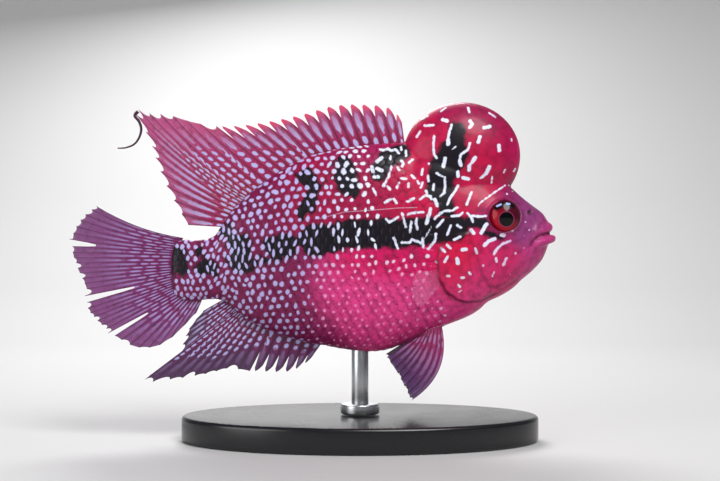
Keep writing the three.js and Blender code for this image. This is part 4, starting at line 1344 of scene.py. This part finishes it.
# %% Base, rod and collar
def turned(name, centre, radii, height, bevel, segments=4):
    """An upright round piece with its middle at centre, all in mm."""
    clear_selection()
    bpy.ops.mesh.primitive_cylinder_add(vertices=128, radius=MM, depth=MM)
    piece = bpy.context.object
    set_points(piece, get_points(piece) * [*radii, height] + centre)
    piece.name = piece.data.name = name
    use_modifier(piece, "BEVEL", width=bevel * MM, segments=segments, limit_method="ANGLE", angle_limit=0.6)
    only(piece)
    bpy.ops.object.shade_smooth_by_angle(angle=0.6)
    return piece


def box_mm(node):
    low, high = (np.array(corner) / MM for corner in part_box(node))
    return (low + high) / 2, high - low


def stand_piece(name, node, bevel, segments):
    middle, extent = box_mm(node)
    return turned(name, middle, extent[:2] / 2, extent[2], bevel, segments)


base = stand_piece("stand_base_acrylic", "stand_base", 0.9, 5)
rod = stand_piece("stand_rod_steel", "stand_rod", 0.25, 2)
collar = stand_piece("stand_collar_steel", "stand_collar", 0.4, 3)

# %% [markdown]
# Cast acrylic is glossy with faint wipe marks, IOR 1.49. The rod is drawn steel: a fine grain runs
# along it, so the noise is stretched in its length.

# %% Stand materials
acrylic, tree, shader = new_material("black_cast_acrylic", {"Base Color": rgba("#141417"), "IOR": 1.49})
set_sockets(tree, shader, {"Roughness": ranged(tree, noise(tree, 9, 5.0), 0.0, 1.0, 0.16, 0.34)})

steel, tree, shader = new_material(
    "drawn_stainless_steel", {"Base Color": rgba("#bcbdbf"), "Metallic": 1.0}
)
grain = noise(tree, 0.15, 3.0, stretch=(1, 1, 0.04))
set_sockets(tree, shader, {"Roughness": ranged(tree, grain, 0.0, 1.0, 0.2, 0.42)})

for piece, material, slot in (
    (base, acrylic, "stand_black"), (rod, steel, "stand_steel"), (collar, steel, "stand_steel")
):
    dress(piece, material, smooth=False)
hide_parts("stand_base")
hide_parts("stand_rod")
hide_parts("stand_collar")

# %% [markdown]
# ## Floor and light
# A plain pale sweep carries the model. One large soft lamp stands above and in front, a weaker one
# fills from the left, and one behind lights the fins' edges. The Standard view keeps the strong red
# and pink, which the usual film-like view would wash out.

# %% Floor
FLOOR_SIZE = 3000
SWEEP_START, SWEEP_RUN, SWEEP_RISE = 250, 700, 900
clear_selection()
bpy.ops.mesh.primitive_plane_add(size=FLOOR_SIZE * MM)
floor = bpy.context.object
floor.name = floor.data.name = "floor"
only(floor)
bpy.ops.object.mode_set(mode="EDIT")
bpy.ops.mesh.select_all(action="SELECT")
bpy.ops.mesh.subdivide(number_cuts=60)
bpy.ops.object.mode_set(mode="OBJECT")
ground_points = get_points(floor)
ground_points[:, 2] = SWEEP_RISE * step(ground_points[:, 1], SWEEP_START, SWEEP_START + SWEEP_RUN)
set_points(floor, ground_points)
only(floor)
bpy.ops.object.shade_smooth()
pale = new_material("pale_painted_sweep", {"Base Color": rgba("#c6c5c5"), "Roughness": 0.8})[0]
floor.data.materials.append(pale)


# %% Lamps
def lamp(name, place_mm, aim_mm, size_mm, power):
    clear_selection()
    bpy.ops.object.light_add(type="AREA", location=[c * MM for c in place_mm])
    light = bpy.context.object
    light.name = name
    light.data.shape = "DISK"
    light.data.size = size_mm * MM
    light.data.energy = power
    light.rotation_euler = (Vector(aim_mm) - Vector(place_mm)).to_track_quat("-Z", "Y").to_euler()


lamp("key", (160, -330, 460), (0, 0, 48), 300, 2.7)
lamp("fill", (-420, -300, 160), (0, 0, 45), 380, 1.1)
lamp("rim", (-60, 330, 330), (0, 0, 50), 260, 1.8)
bpy.context.scene.view_settings.view_transform = "Standard"
world = bpy.data.worlds.new("soft_room")
bpy.context.scene.world = world
world.use_nodes = True
room = world.node_tree.nodes["Background"]
set_sockets(world.node_tree, room, inputs={"Color": rgba("#dfe3ea"), "Strength": 0.22})
